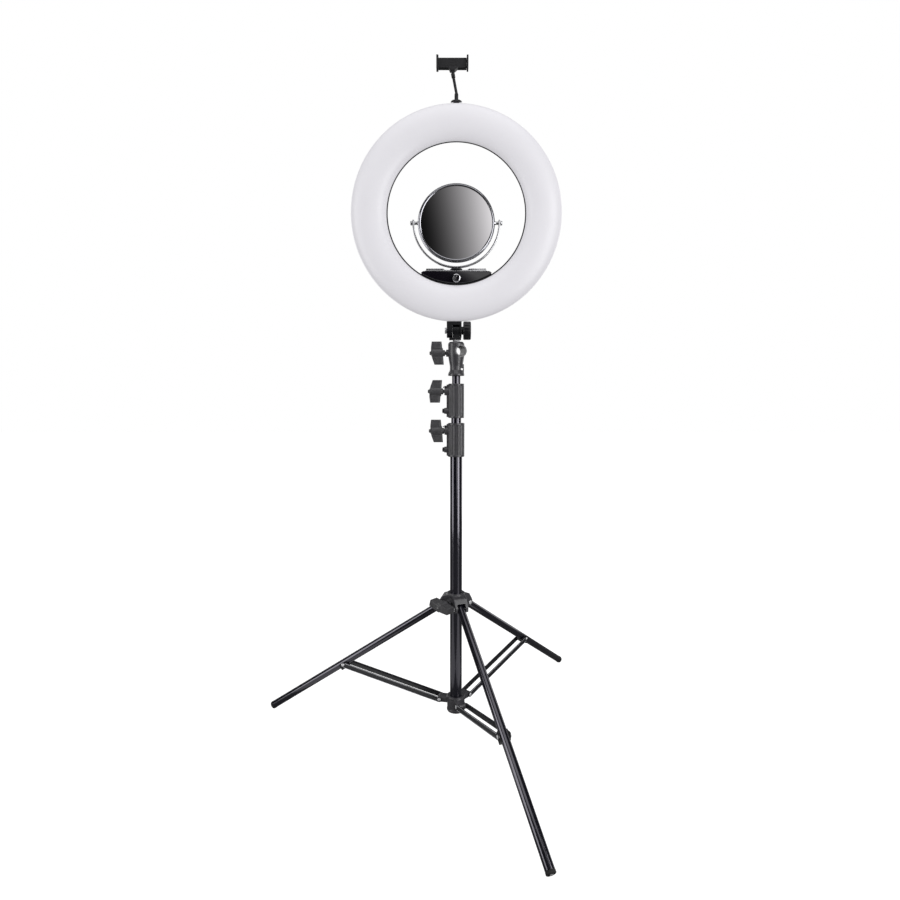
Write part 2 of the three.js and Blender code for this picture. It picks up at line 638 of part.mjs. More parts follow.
function makeMirror() {
  const { radius, glass, window, yokeInner, yokeOuter } = MIRROR;
  const seat = glass + GAP;
  const profile = [
    [window, -5.5], [83, -6], [radius, -3], [radius, 3], [83, 6], [window, 5.5],
    [window, 4], [seat, 4], [seat, -4], [window, -4],
  ];
  const frame = join(
    turned('y', closedProfile(profile), 40),
    rod('x', 2.5, radius - 2, yokeOuter + 2, 12),
    rod('x', 2.5, -yokeOuter - 2, 2 - radius, 12),
    rod('x', 4.5, yokeOuter + GAP, yokeOuter + 4.6, 16),
    rod('x', 4.5, -yokeOuter - 4.6, -yokeOuter - GAP, 16),
    rod('x', 3.8, radius - 1, yokeInner - GAP, 16),
    rod('x', 3.8, GAP - yokeInner, 1 - radius, 16),
  );
  const yoke = new THREE.Shape();
  yoke.moveTo(-yokeOuter, 7);
  yoke.lineTo(-yokeOuter, 0);
  yoke.absarc(0, 0, yokeOuter, Math.PI, 2 * Math.PI, false);
  yoke.lineTo(yokeOuter, 7);
  yoke.lineTo(yokeInner, 7);
  yoke.lineTo(yokeInner, 0);
  yoke.absarc(0, 0, yokeInner, 2 * Math.PI, Math.PI, true);
  yoke.lineTo(-yokeInner, 7);
  const stemEnd = PANEL.top - 2 - MIRROR.z;
  const bow = cut(
    join(slabY(yoke, -4.5, 4.5, 20), rod('z', 4, stemEnd, -yokeInner - 1, 16)),
    rod('x', 2.8, -yokeOuter - 5, 5 - yokeInner, 12),
    rod('x', 2.8, yokeInner - 5, yokeOuter + 5, 12),
  );
  const wheel = cut(
    rod('z', 14, PANEL.top + 2.8 - MIRROR.z, -yokeOuter - 0.5, ROUND),
    rod('z', 4.3, -200, 0, 16),
  );
  return groupAt(0, 0, MIRROR.z, [
    mesh('mirror_frame', frame, MATERIALS.chrome),
    mesh('mirror_glass_plain', rod('y', glass, -3.7, -0.7, 40), MATERIALS.mirror),
    mesh('mirror_glass_magnifying', rod('y', glass, 0.7, 3.7, 40), MATERIALS.mirror),
    mesh('mirror_yoke', bow, MATERIALS.chrome),
    mesh('mirror_lock_wheel', wheel, MATERIALS.blackPlastic),
  ]);
}

// ---- phone holder, in the ring's frame ----------------------------------------------

const NECK = { foot: 242.2, sleeveTop: 262, flexLength: 15, flexGap: 1.5, sleeveRadius: 4.2 };

function makeHolder() {
  const z = SHOE.z;
  const shoe = join(
    block([-12, 12], [-8, 8], [z, z + 2]),
    block([-12, -9.3], [-8, 8], [z + 1, z + 6]),
    block([9.3, 12], [-8, 8], [z + 1, z + 6]),
    block([-12, -6.3], [-8, 8], [z + 4.6, z + 6]),
    block([6.3, 12], [-8, 8], [z + 4.6, z + 6]),
  );
  const foot = join(
    block([-9, 9], [-7.5, 7.5], [z + 2 + GAP, z + 4.3]),
    rod('z', 3, z + 3, NECK.foot + 14, 16),
  );
  const wheel = cut(
    rod('z', 12.5, z + 6 + GAP, z + 6 + GAP + 4.6, ROUND),
    rod('z', 3.3, z, z + 30, 16),
  );
  const sleeveBottom = z + 6 + GAP + 4.6 + GAP;
  const sleeve = cut(
    rod('z', NECK.sleeveRadius, sleeveBottom, NECK.sleeveTop, 16),
    rod('z', 3.3, z, NECK.foot + 14 + GAP, 16),
  );
  const flex = (name) => mesh(name, rod('z', 3, 0, NECK.flexLength, 12), MATERIALS.rubber);
  const step = NECK.flexLength + NECK.flexGap;
  const lean = rad(NECK_LEAN);
  const ballAt = 14.5;
  const top = join(
    rod('z', NECK.sleeveRadius, 0, 9.5, 16),
    rod('z', 2.2, 9, ballAt, 12),
    new THREE.SphereGeometry(4, 16, 12).translate(0, 0, ballAt),
  );
  const neck = groupAt(0, 0, NECK.sleeveTop + NECK.flexGap, [
    flex('gooseneck_lower'),
    groupAt(0, 0, step, [flex('gooseneck_upper')]),
    groupAt(0, 0, 2 * step, [mesh('gooseneck_top', top, MATERIALS.blackPlastic)]),
  ]);
  neck.rotation.y = -lean;
  const ballReach = 2 * step + ballAt;
  const ball = new THREE.Vector3(-ballReach * Math.sin(lean), 0,
    NECK.sleeveTop + NECK.flexGap + ballReach * Math.cos(lean));
  return groupAt(0, SHOE.y, 0, [
    mesh('accessory_shoe', shoe, MATERIALS.steel),
    mesh('holder_foot', foot, MATERIALS.steel),
    mesh('holder_lock_wheel', wheel, MATERIALS.blackPlastic),
    mesh('gooseneck_base', sleeve, MATERIALS.blackPlastic),
    neck,
    groupAt(ball.x, 0, ball.z, makeClamp()),
  ]);
}

// The spring clamp, origin at the ball's centre.
function makeClamp() {
  const { halfWidth: half, bottom, top, jawDepth } = HOLDER_CLAMP;
  const middle = (bottom + top) / 2;
  const jaw = (near, far) => block([near, far], [-jawDepth, 6], [bottom - 4, top + 2.5]);
  const socketSide = outline([[-4.9, -1], [4.9, -1], [13, 6], [-8, 6]]);
  const rails = (radius, from, to) =>
    [-5.5, 5.5].map((z) => rod('x', radius, from, to, 12).translate(0, 2, middle + z));
  const body = cut(
    join(
      block([-half, half], [-4, 7], [bottom, top]),
      jaw(-half - 3.5, -half + 1),
      slabY(socketSide, -6, 6),
    ),
    new THREE.SphereGeometry(4.5, 16, 12),
    rod('z', 4.2, -6, 0, 16),
    ...rails(2.4, -half + 9, half + 5),
  );
  const slider = join(jaw(half + GAP, half + 3.8), ...rails(2, -half + 11, half + 2));
  return [
    mesh('clamp_body', body, MATERIALS.blackPlastic),
    mesh('clamp_jaw', slider, MATERIALS.blackPlastic),
  ];
}

// ---- assembly -----------------------------------------------------------------------

function makeTripod() {
  const sides = Object.entries(LEG_AZIMUTHS).map(([name, azimuth]) => {
    const side = groupAt(0, 0, 0, [makeLeg(name), makeLegPin(name), makeBrace(name)]);
    side.rotation.z = rad(azimuth);
    return side;
  });
  return [makeLegHub(), makeLowerHub(), ...sides];
}

const ringHead = groupAt(0, 0, RING_CENTRE_HEIGHT, [
  makeDiffuser(),
  makeRearHousing(),
  makeLedBoard(),
  makeRingBracket(),
  makeTiltBolt(),
  makeTiltKnob(),
  ...makeControls(),
  makeMirror(),
  makeHolder(),
]);

const ringLight = groupAt(MAST_X, MAST_Y, 0, [
  ...makeTripod(),
  ...makeMast(),
  makeTiltBase(),
  makeStud(),
  ringHead,
]);
ringLight.name = 'ring_light';

export default ringLight;
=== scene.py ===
"""Looks of the ring light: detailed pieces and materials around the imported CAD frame.

Shapes are drawn in millimetres in a local frame each (mast, ring, leg, brace, ...) and placed
in metres where the CAD nodes and joints are.
"""

import json
import math

import bmesh
import bpy
from mathutils import Matrix, Vector


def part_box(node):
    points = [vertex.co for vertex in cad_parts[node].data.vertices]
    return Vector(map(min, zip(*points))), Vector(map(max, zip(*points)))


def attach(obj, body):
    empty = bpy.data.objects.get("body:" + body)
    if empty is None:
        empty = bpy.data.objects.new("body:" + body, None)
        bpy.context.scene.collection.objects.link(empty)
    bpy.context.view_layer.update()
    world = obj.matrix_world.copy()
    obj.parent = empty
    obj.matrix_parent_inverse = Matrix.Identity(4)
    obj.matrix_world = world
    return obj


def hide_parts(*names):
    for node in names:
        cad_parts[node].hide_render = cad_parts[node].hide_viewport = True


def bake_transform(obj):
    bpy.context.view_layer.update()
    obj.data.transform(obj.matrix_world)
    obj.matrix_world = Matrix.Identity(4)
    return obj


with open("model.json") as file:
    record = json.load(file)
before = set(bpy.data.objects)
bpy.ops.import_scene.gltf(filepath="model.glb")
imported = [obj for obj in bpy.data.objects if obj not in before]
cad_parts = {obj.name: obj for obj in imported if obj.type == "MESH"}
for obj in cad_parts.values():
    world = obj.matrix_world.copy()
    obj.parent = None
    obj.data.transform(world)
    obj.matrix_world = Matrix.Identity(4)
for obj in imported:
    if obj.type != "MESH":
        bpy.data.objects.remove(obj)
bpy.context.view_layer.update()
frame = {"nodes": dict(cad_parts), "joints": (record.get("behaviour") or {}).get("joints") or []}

MM = 0.001
SIDES = ("front", "right", "left")
SHARP_ANGLE = 35  # degrees, above which an edge is bevelled and stays sharp

# ---- frames ---------------------------------------------------------------------------

joints = {joint["name"]: joint for joint in frame["joints"]}


def centre(node):
    low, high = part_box(node)
    return (low + high) / 2


def z_span(node):
    """The bottom and top of a CAD node, in millimetres above the floor."""
    return tuple(corner.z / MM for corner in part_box(node))


def joint_place(name):
    return Vector(joints[name]["pos_m"])


def frame_at(origin, x_axis=(1, 0, 0), z_axis=(0, 0, 1)):
    """A millimetre frame at a place in metres, from its X and Z directions."""
    x, z = Vector(x_axis).normalized(), Vector(z_axis).normalized()
    y = z.cross(x)
    turn = Matrix((x, y, z)).transposed().to_4x4()
    return Matrix.Translation(Vector(origin)) @ turn @ Matrix.Scale(MM, 4)


LEG_LEAN = math.radians(56.04)  # of each leg from straight down
NECK_LEAN = math.radians(11)  # of the gooseneck from straight up

mast_centre = centre("base_tube")
MAST = frame_at((mast_centre.x, mast_centre.y, 0))
ring_centre = centre("diffuser")
RING = frame_at((mast_centre.x, mast_centre.y, ring_centre.z))


def outward(point):
    """The horizontal direction from the mast to a point."""
    away = Vector(point) - mast_centre
    away.z = 0
    return away.normalized()


def leg_frame(side):
    pivot = joint_place(f"leg_{side}_hinge")
    out = outward(pivot)
    down = out * math.sin(LEG_LEAN) - Vector((0, 0, math.cos(LEG_LEAN)))
    up = out * math.cos(LEG_LEAN) + Vector((0, 0, math.sin(LEG_LEAN)))
    return frame_at(pivot, down, up)


def brace_frame(side):
    """The frame of a brace, and its length in millimetres."""
    pivot = joint_place(f"brace_{side}_hinge")
    along = centre(f"clip_rivet_{side}") - pivot
    across = Vector((0, 0, 1)).cross(outward(pivot))
    return frame_at(pivot, along, along.cross(across)), along.length / MM


# ---- shapes: lists of (points, faces) in millimetres -----------------------------------


def rounded(points, radius, steps=4):
    """A closed outline with its corners rounded; radius is one number or one per corner."""
    count = len(points)
    radii = radius if isinstance(radius, (list, tuple)) else [radius] * count
    result = []
    for i, corner in enumerate(points):
        here = Vector(corner)
        before, after = Vector(points[i - 1]) - here, Vector(points[(i + 1) % count]) - here
        reach = min(radii[i], before.length * 0.49, after.length * 0.49)
        if reach < 1e-4:
            result.append(tuple(here))
            continue
        start, end = here + before.normalized() * reach, here + after.normalized() * reach
        for step in range(steps + 1):
            t = step / steps
            p = start * (1 - t) ** 2 + here * 2 * t * (1 - t) + end * t * t
            result.append(tuple(p))
    return result


def turn_axis(axis, points):
    """Points with the turning axis along Z, laid along X, Y or Z."""
    if axis == "x":
        return [(z, x, y) for x, y, z in points]
    if axis == "y":
        return [(x, z, -y) for x, y, z in points]
    return list(points)


def lathe(axis, profile, sides=64, wave=None):
    """A closed (radius, height) profile turned about an axis. It may touch the axis.

    wave(angle, radius) scales the radius, for lobes and knurls."""
    points, faces = [], []
    rings = []
    for radius, height in profile:
        if radius < 1e-6:
            rings.append([len(points)])
            points.append((0, 0, height))
            continue
        ring = []
        for i in range(sides):
            angle = 2 * math.pi * i / sides
            r = radius * (wave(angle, radius) if wave else 1)
            ring.append(len(points))
            points.append((r * math.cos(angle), r * math.sin(angle), height))
        rings.append(ring)
    for low, high in zip(rings, rings[1:] + rings[:1]):
        if len(low) == 1 and len(high) == 1:
            continue
        for i in range(sides):
            j = (i + 1) % sides
            if len(low) == 1:
                faces.append((low[0], high[j], high[i]))
            elif len(high) == 1:
                faces.append((low[i], low[j], high[0]))
            else:
                faces.append((low[i], low[j], high[j], high[i]))
    return turn_axis(axis, points), faces


def knurl(lobes, depth, beyond):
    """A wave for lathe: grooves of a depth, as a share of the radius, beyond a radius."""
    def wave(angle, radius):
        return 1 - depth * (0.5 + 0.5 * math.cos(lobes * angle)) if radius > beyond else 1

    return wave


def prism(axis, outline, low, high):
    """An outline in the plane across an axis: Y-Z for x, X-Z for y, X-Y for z."""
    count = len(outline)
    order = {"x": lambda u, v, h: (h, u, v), "y": lambda u, v, h: (u, h, v),
             "z": lambda u, v, h: (u, v, h)}[axis]
    points = [order(u, v, low) for u, v in outline] + [order(u, v, high) for u, v in outline]
    faces = [tuple(range(count))[::-1], tuple(range(count, 2 * count))]
    faces += [(i, (i + 1) % count, count + (i + 1) % count, count + i) for i in range(count)]
    return points, faces


def block(x, y, z):
    return prism("z", [(x[0], y[0]), (x[1], y[0]), (x[1], y[1]), (x[0], y[1])], *z)


def rod(axis, radius, low, high, chamfer=0.5):
    edge = min(chamfer, (high - low) / 3, radius / 3)
    profile = [(0, low), (radius, low), (radius, high), (0, high)]
    if edge > 0:
        profile = [(0, low), (radius - edge, low), (radius - edge * 0.3, low + edge * 0.3),
                   (radius, low + edge), (radius, high - edge),
                   (radius - edge * 0.3, high - edge * 0.3), (radius - edge, high), (0, high)]
    return lathe(axis, profile, 32)


def pipe(axis, radius, wall, low, high, sides=64):
    inner = radius - wall
    corners = [(inner, low), (radius, low), (radius, high), (inner, high)]
    return lathe(axis, rounded(corners, [0.2, 0.5, 0.5, 0.2], 3), sides)


def dome(axis, radius, base, height):
    """A rivet head: a shallow dome from base to base + height, which may be negative."""
    steps = 6
    profile = [(0, base)] + [
        (radius * math.cos(a), base + height * math.sin(a))
        for a in (math.pi / 2 * i / steps for i in range(steps))
    ]
    return lathe(axis, [*profile, (0, base + height)], 24)


def hexagon(axis, radius, low, high):
    outline = [(radius * math.cos(a), radius * math.sin(a))
               for a in (math.pi / 3 * i for i in range(6))]
    return prism(axis, outline, low, high)


def stadium(start, end, radius):
    steps = 14
    right = [(end + radius * math.sin(a), -radius * math.cos(a))
             for a in (math.pi * i / steps for i in range(steps + 1))]
    left = [(start - radius * math.sin(a), radius * math.cos(a))
            for a in (math.pi * i / steps for i in range(steps + 1))]
    return right + left


def moved(shape, x=0, y=0, z=0, turn=None):
    points, faces = shape
    matrix = Matrix.Translation((x, y, z)) @ (turn or Matrix.Identity(4))
    return [tuple(matrix @ Vector(p)) for p in points], faces


def on_circle(shape, radius, angle, turned=False):
    """A shape moved out from the Y axis at an angle up from +X, and turned with it if asked."""
    turn = Matrix.Rotation(math.pi / 2 - angle, 4, "Y") if turned else None
    return moved(shape, x=radius * math.cos(angle), z=radius * math.sin(angle), turn=turn)


def side_faces(count, rings):
    """The faces between successive rings of points."""
    faces = []
    for a in range(0, (rings - 1) * count, count):
        for i in range(count):
            j = (i + 1) % count
            faces.append((a + i, a + j, a + count + j, a + count + i))
    return faces


def cad_shape(node, local):
    """A CAD node's own surface, in a local millimetre frame."""
    mesh = frame["nodes"][node].data
    back = local.inverted()
    points = [tuple(back @ v.co) for v in mesh.vertices]
    return points, [tuple(p.vertices) for p in mesh.polygons]


# ---- pieces ---------------------------------------------------------------------------


def applied(obj):
    """Replaces an object's mesh by what its modifiers make of it."""
    graph = bpy.context.evaluated_depsgraph_get()
    made = bpy.data.meshes.new_from_object(obj.evaluated_get(graph))
    obj.modifiers.clear()
    old = obj.data
    obj.data = made
    bpy.data.meshes.remove(old)


def piece(name, shapes, local, body, finish, replaces=None, bevel=0, voxel=0,
          smooth=6, angle=SHARP_ANGLE, keep=1):
    """A mesh piece from shapes in a local frame, riding on a CAD body unless body is None.

    bevel and voxel are in millimetres;
    keep is the share of the faces left after a remesh."""
    bm = bmesh.new()
    for points, faces in shapes:
        verts = [bm.verts.new(local @ Vector(p)) for p in points]
        for face in faces:
            if len(set(face)) > 2:
                try:
                    bm.faces.new([verts[i] for i in face])
                except ValueError:
                    pass
    bmesh.ops.remove_doubles(bm, verts=bm.verts, dist=1e-6)
    bmesh.ops.recalc_face_normals(bm, faces=bm.faces)
    mesh = bpy.data.meshes.new(name)
    bm.to_mesh(mesh)
    bm.free()
    obj = bpy.data.objects.new(name, mesh)
    bpy.context.scene.collection.objects.link(obj)
    if voxel:
        remesh = obj.modifiers.new("remesh", "REMESH")
        remesh.mode = "VOXEL"
        remesh.voxel_size = voxel * MM
        relax = obj.modifiers.new("relax", "SMOOTH")
        relax.factor = 0.5
        relax.iterations = smooth
        thin = obj.modifiers.new("thin", "DECIMATE")
        thin.ratio = keep
        applied(obj)
    if bevel:
        edge = obj.modifiers.new("edge", "BEVEL")
        edge.width = bevel * MM
        edge.segments = 3
        edge.limit_method = "ANGLE"
        edge.angle_limit = math.radians(angle)
        applied(obj)
    for polygon in obj.data.polygons:
        polygon.use_smooth = True
    if not voxel:
        obj.data.set_sharp_from_angle(angle=math.radians(angle))
    obj.data.materials.clear()
    obj.data.materials.append(finish.material)
    if body:
        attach(obj, body)
    if replaces:
        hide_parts(replaces)
    return obj


def moulded(name, node, local, body, finish, extras=(), voxel=0.5, smooth=5, keep=0.5):
    """A CAD node's own shape and some extras, melted into one softly rounded casting."""
    piece(name, [cad_shape(node, local), *extras], local, body, finish, node, voxel=voxel,
          smooth=smooth, keep=keep)


# ---- materials ------------------------------------------------------------------------

NOISE_SPAN = (0.3, 0.7)  # the stretch of a noise node's values that colour and gloss use


class Finish:
    """A Principled material with procedural colour, roughness and bump."""

    def __init__(self, name, slot, colour, roughness, metallic=0.0, coat=0.0,
                 coat_roughness=0.1, ior=1.5, sheen=(1, 1, 1)):
        self.material = bpy.data.materials.new(name)
        self.material.use_nodes = True
        self.tree = self.material.node_tree
        self.shader = self.tree.nodes["Principled BSDF"]
        self.set("Base Color", (*colour, 1))
        self.set("Roughness", roughness)
        self.set("Metallic", metallic)
        self.set("Coat Weight", coat)
        self.set("Coat Roughness", coat_roughness)
        self.set("IOR", ior)
        self.set("Specular Tint", (*sheen, 1))
        self.slot, self.colour, self.roughness = slot, colour, roughness
        self.place = self.tree.nodes.new("ShaderNodeTexCoord").outputs["Object"]
        self.bump = None

    def set(self, socket, value):
        self.shader.inputs[socket].default_value = value
        return self

    def noise(self, scale, detail=3.0, stretch=None):
        place = self.place
        if stretch:
            mapping = self.tree.nodes.new("ShaderNodeMapping")
            mapping.inputs["Scale"].default_value = stretch
            self.tree.links.new(place, mapping.inputs["Vector"])
            place = mapping.outputs["Vector"]
        node = self.tree.nodes.new("ShaderNodeTexNoise")
        node.inputs["Scale"].default_value = scale
        node.inputs["Detail"].default_value = detail
        self.tree.links.new(place, node.inputs["Vector"])
        return node.outputs["Fac"]

    def span(self, value, low, high):
        node = self.tree.nodes.new("ShaderNodeMapRange")
        node.inputs["From Min"].default_value, node.inputs["From Max"].default_value = NOISE_SPAN
        node.inputs["To Min"].default_value = low
        node.inputs["To Max"].default_value = high
        self.tree.links.new(value, node.inputs["Value"])
        return node.outputs["Result"]

    def mottle(self, scale, amount, detail=3.0, stretch=None):
        """Colour that drifts lighter and darker by an amount."""
        ramp = self.tree.nodes.new("ShaderNodeValToRGB")
        factors = (1 - amount, 1 + amount)
        for element, place, factor in zip(ramp.color_ramp.elements, NOISE_SPAN, factors):
            element.position = place
            element.color = (*[min(1, c * factor) for c in self.colour], 1)
        self.tree.links.new(self.noise(scale, detail, stretch), ramp.inputs["Fac"])
        self.tree.links.new(ramp.outputs["Color"], self.shader.inputs["Base Color"])
        return self

    def worn(self, scale, amount, stretch=None):
        """Roughness that varies about its value."""
        value = self.span(self.noise(scale, 4.0, stretch), self.roughness - amount,
                          self.roughness + amount)
        self.tree.links.new(value, self.shader.inputs["Roughness"])
        return self

    def grain(self, scale, height, stretch=None):
        """Fine relief, height in millimetres."""
        node = self.tree.nodes.new("ShaderNodeBump")
        node.inputs["Distance"].default_value = height * MM
        node.inputs["Strength"].default_value = 1.0
        self.tree.links.new(self.noise(scale, 2.0, stretch), node.inputs["Height"])
        if self.bump:
            self.tree.links.new(self.bump, node.inputs["Normal"])
        self.bump = node.outputs["Normal"]
        self.tree.links.new(self.bump, self.shader.inputs["Normal"])
        return self


black_coat = Finish("black_powder_coat", "black_tube", (0.003, 0.003, 0.006), 0.14, ior=2.0,
                    sheen=(0.92, 0.89, 1.0))
black_coat.mottle(60, 0.15).worn(120, 0.04).grain(900, 0.012)
brace_coat = Finish("brace_coat", "brace_steel", (0.008, 0.008, 0.011), 0.3, coat=0.6,
                    coat_roughness=0.15)
brace_coat.mottle(80, 0.2).worn(150, 0.08).grain(900, 0.015)
# A light grey metal for strips along the braces' edges: painted highlights where the channels'
# rims would catch the light.
painted_rim_highlight = Finish("brace_worn_edge", "brace_steel", (0.5, 0.5, 0.53), 0.3, metallic=0.35)
painted_rim_highlight.mottle(60, 0.35, 4.0).worn(120, 0.1).grain(900, 0.012)
casting = Finish("casting_nylon", "casting", (0.041, 0.0395, 0.045), 0.42, coat=0.7,
                 coat_roughness=0.27)
casting.mottle(140, 0.25, 4.0).worn(180, 0.08).grain(1100, 0.05).grain(160, 0.05)
knob_nylon = Finish("knob_nylon", "knob_plastic", (0.05, 0.049, 0.053), 0.42, coat=0.5,
                    coat_roughness=0.3)
knob_nylon.mottle(160, 0.2, 4.0).worn(200, 0.08).grain(1300, 0.04)
black_plastic = Finish("black_plastic", "black_plastic", (0.006, 0.006, 0.008), 0.4)
black_plastic.mottle(120, 0.2).worn(160, 0.06).grain(1500, 0.03)
bracket_black = Finish("bracket_black", "black_plastic", (0.003, 0.003, 0.0045), 0.3)
bracket_black.mottle(120, 0.2).worn(160, 0.05).grain(1500, 0.02)
housing_plastic = Finish("housing_plastic", "black_plastic", (0.012, 0.012, 0.014), 0.48)
housing_plastic.mottle(60, 0.15).worn(80, 0.05).grain(1800, 0.05)
panel_gloss = Finish("panel_gloss", "gloss_panel", (0.006, 0.005, 0.008), 0.09, coat=1.0,
                     coat_roughness=0.03)
panel_gloss.mottle(30, 0.1).grain(60, 0.004)
zinc = Finish("zinc_steel", "rivet_steel", (0.8, 0.8, 0.82), 0.28, metallic=0.55)
zinc.mottle(200, 0.08).worn(260, 0.08).grain(700, 0.01)
chrome = Finish("chrome", "chrome_trim", (0.6, 0.6, 0.62), 0.13, metallic=1.0)
chrome.mottle(90, 0.03).worn(90, 0.03)
aluminium = Finish("satin_aluminium", "dial_aluminium", (0.72, 0.72, 0.74), 0.32, metallic=1.0)
aluminium.mottle(300, 0.05, stretch=(0.05, 1, 1)).worn(400, 0.08, stretch=(0.05, 1, 1))
aluminium.grain(900, 0.006, stretch=(0.03, 1, 1))
rubber = Finish("foot_rubber", "foot_rubber", (0.014, 0.014, 0.014), 0.72)
rubber.mottle(150, 0.25).worn(200, 0.08).grain(900, 0.06)
flex = Finish("flex_sleeve", "flex_sleeve", (0.012, 0.012, 0.013), 0.5)
flex.mottle(200, 0.2).worn(300, 0.08).grain(1500, 0.03)
diffuser = Finish("diffuser_acrylic", "diffuser", (0.37, 0.365, 0.385), 0.42, coat=0.1,
                  coat_roughness=0.3)
diffuser.mottle(9, 0.02).worn(40, 0.04).grain(1200, 0.01)
# A faint glow painted into the diffuser lifts its shaded side to nearly as bright as its lit side.
diffuser.set("Emission Color", (0.97, 0.955, 1.0, 1)).set("Emission Strength", 0.45)
frame_chrome = Finish("dark_chrome", "chrome_trim", (0.4, 0.4, 0.43), 0.12, metallic=1.0)
frame_chrome.mottle(90, 0.04).worn(90, 0.03)
mirror_silver = Finish("mirror_silver", "mirror_glass", (0.95, 0.925, 0.95), 0.012, metallic=1.0)
mirror_silver.mottle(25, 0.006)
board_white = Finish("board_white", "circuit_board", (0.75, 0.77, 0.74), 0.45)
board_white.mottle(120, 0.08).worn(160, 0.05).grain(900, 0.01)
lamp_yellow = Finish("lamp_phosphor", "circuit_board", (0.9, 0.72, 0.2), 0.35)
lamp_yellow.mottle(900, 0.08)
board_green = Finish("board_green", "circuit_board", (0.02, 0.16, 0.07), 0.4)
board_green.mottle(150, 0.15).worn(160, 0.05).grain(900, 0.01)

# ---- tripod ---------------------------------------------------------------------------

# Millimetres: a leg tube, its brace clip's place on it, and a brace's cross-section.
LEG_RADIUS, LEG_LENGTH = 9.0, 530.0
CLIP_ALONG, CLIP_BELOW = 298.0, 1.5
BRACE_INNER, BRACE_OUTER, BRACE_HALF = 11.05, 13.65, 6.0


def make_leg(side):
    body, local = f"leg_{side}", leg_frame(side)
    piece(f"leg_tube_{side}_coat", [pipe("x", LEG_RADIUS, 1, -8, LEG_LENGTH - 3)], local, body,
          black_coat, f"leg_tube_{side}")
    end = LEG_LENGTH + 3
    profile = [(0, end - 21), (6.7, end - 21), (7.7, end - 19), (7.7, end - 5.7),
               (9.0, end - 5.7), (9.4, end - 5.2), (9.4, end - 4.2), (9.1, end - 3.9),
               (9.1, end - 3.5), (9.4, end - 3.2), (9.4, end - 1.6), (8.9, end - 0.6),
               (7.9, end), (0, end)]
    cap = piece(f"foot_cap_{side}_rubber", [lathe("x", profile, 48)], local, body, rubber,
                f"foot_cap_{side}")
    flatten_at_floor(cap)
    eyelet = [(1.6, end - 0.6), (3.3, end - 0.6), (3.3, end + 0.1), (2.9, end + 0.4),
              (2, end + 0.4), (1.6, end + 0.1)]
    piece(f"foot_eyelet_{side}", [lathe("x", eyelet, 32)], local, body, zinc)
    moulded(f"brace_clip_{side}_body", f"brace_clip_{side}", local, body, black_plastic,
            voxel=0.35)
    rivet = moved(rod("y", 2.5, -10.6, 10.6), x=CLIP_ALONG, z=-CLIP_BELOW)
    piece(f"clip_rivet_{side}_steel", [rivet], local, body, zinc, f"clip_rivet_{side}")


def flatten_at_floor(obj):
    """Cuts a piece off at the floor and closes the cut."""
    bm = bmesh.new()
    bm.from_mesh(obj.data)
    geometry = bm.verts[:] + bm.edges[:] + bm.faces[:]
    cut = bmesh.ops.bisect_plane(bm, geom=geometry, plane_co=(0, 0, 1e-6), plane_no=(0, 0, 1),
                                 clear_inner=True)
    edges = [e for e in cut["geom_cut"] if isinstance(e, bmesh.types.BMEdge)]
    bmesh.ops.holes_fill(bm, edges=edges)
    bmesh.ops.recalc_face_normals(bm, faces=bm.faces)
    bm.to_mesh(obj.data)
    bm.free()
    obj.data.set_sharp_from_angle(angle=math.radians(SHARP_ANGLE))


def channel(length, side):
    """One pressed channel of a brace: a web with a turned-out flange all round."""
    outer, web = side * BRACE_OUTER, side * (BRACE_INNER + 1.4)
    rim, floor = stadium(0, length, BRACE_HALF), stadium(0, length, BRACE_HALF - 1.5)
    inner_edge = stadium(0, length, BRACE_HALF - 1.25)
    count = len(rim)
    points = [(x, side * BRACE_INNER, z) for x, z in rim]
    points += [(x, outer, z) for x, z in rim]
    points += [(x, outer, z) for x, z in inner_edge]
    points += [(x, web, z) for x, z in floor]
    caps = [tuple(range(count)), tuple(range(3 * count, 4 * count))]
    return points, caps + side_faces(count, 4)


def make_brace(side):
    local, length = brace_frame(side)
    body = f"brace_{side}"
    piece(f"brace_{side}_channels", [channel(length, -1), channel(length, 1)], local, body,
          brace_coat, f"brace_{side}", bevel=0.3)
    # Light grey strips along each channel's edges: painted highlights for the shine along the
    # channels' rims.
    rim_highlights = []
    for sign in (-1, 1):
        across = sorted((sign * (BRACE_OUTER - 0.3), sign * (BRACE_OUTER + 0.12)))
        inner, outer = BRACE_HALF - 1.15, BRACE_HALF + 0.1
        for height in ((-outer, -inner), (inner, outer)):
            rim_highlights.append(block((4, length - 4), across, height))
    piece(f"brace_{side}_rims", rim_highlights, local, body, painted_rim_highlight, bevel=0.2)
    rivets = [rod("y", 2.5, -BRACE_INNER, BRACE_INNER)]
    for x in (0, length):
        for sign in (-1, 1):
            shank = sorted((sign * (BRACE_INNER + 1.3), sign * BRACE_OUTER))
            rivets.append(moved(rod("y", 3.9, *shank, chamfer=0), x=x))
            rivets.append(moved(dome("y", 3.9, sign * BRACE_OUTER, sign * 1.2), x=x))
    piece(f"brace_{side}_rivets", rivets, local, body, zinc)


def make_leg_pin(side):
    pivot = joint_place(f"leg_{side}_hinge")
    local = frame_at(pivot, outward(pivot))
    shapes = [rod("y", 3, -17, 17)]
    for sign in (-1, 1):
        seat = sorted((sign * 16.3, sign * 16.8))
        shapes += [rod("y", 4.8, *seat, chamfer=0), dome("y", 4.8, sign * 16.8, sign * 0.8)]
    piece(f"leg_pin_{side}_steel", shapes, local, "leg_hub", zinc, f"leg_pin_{side}")


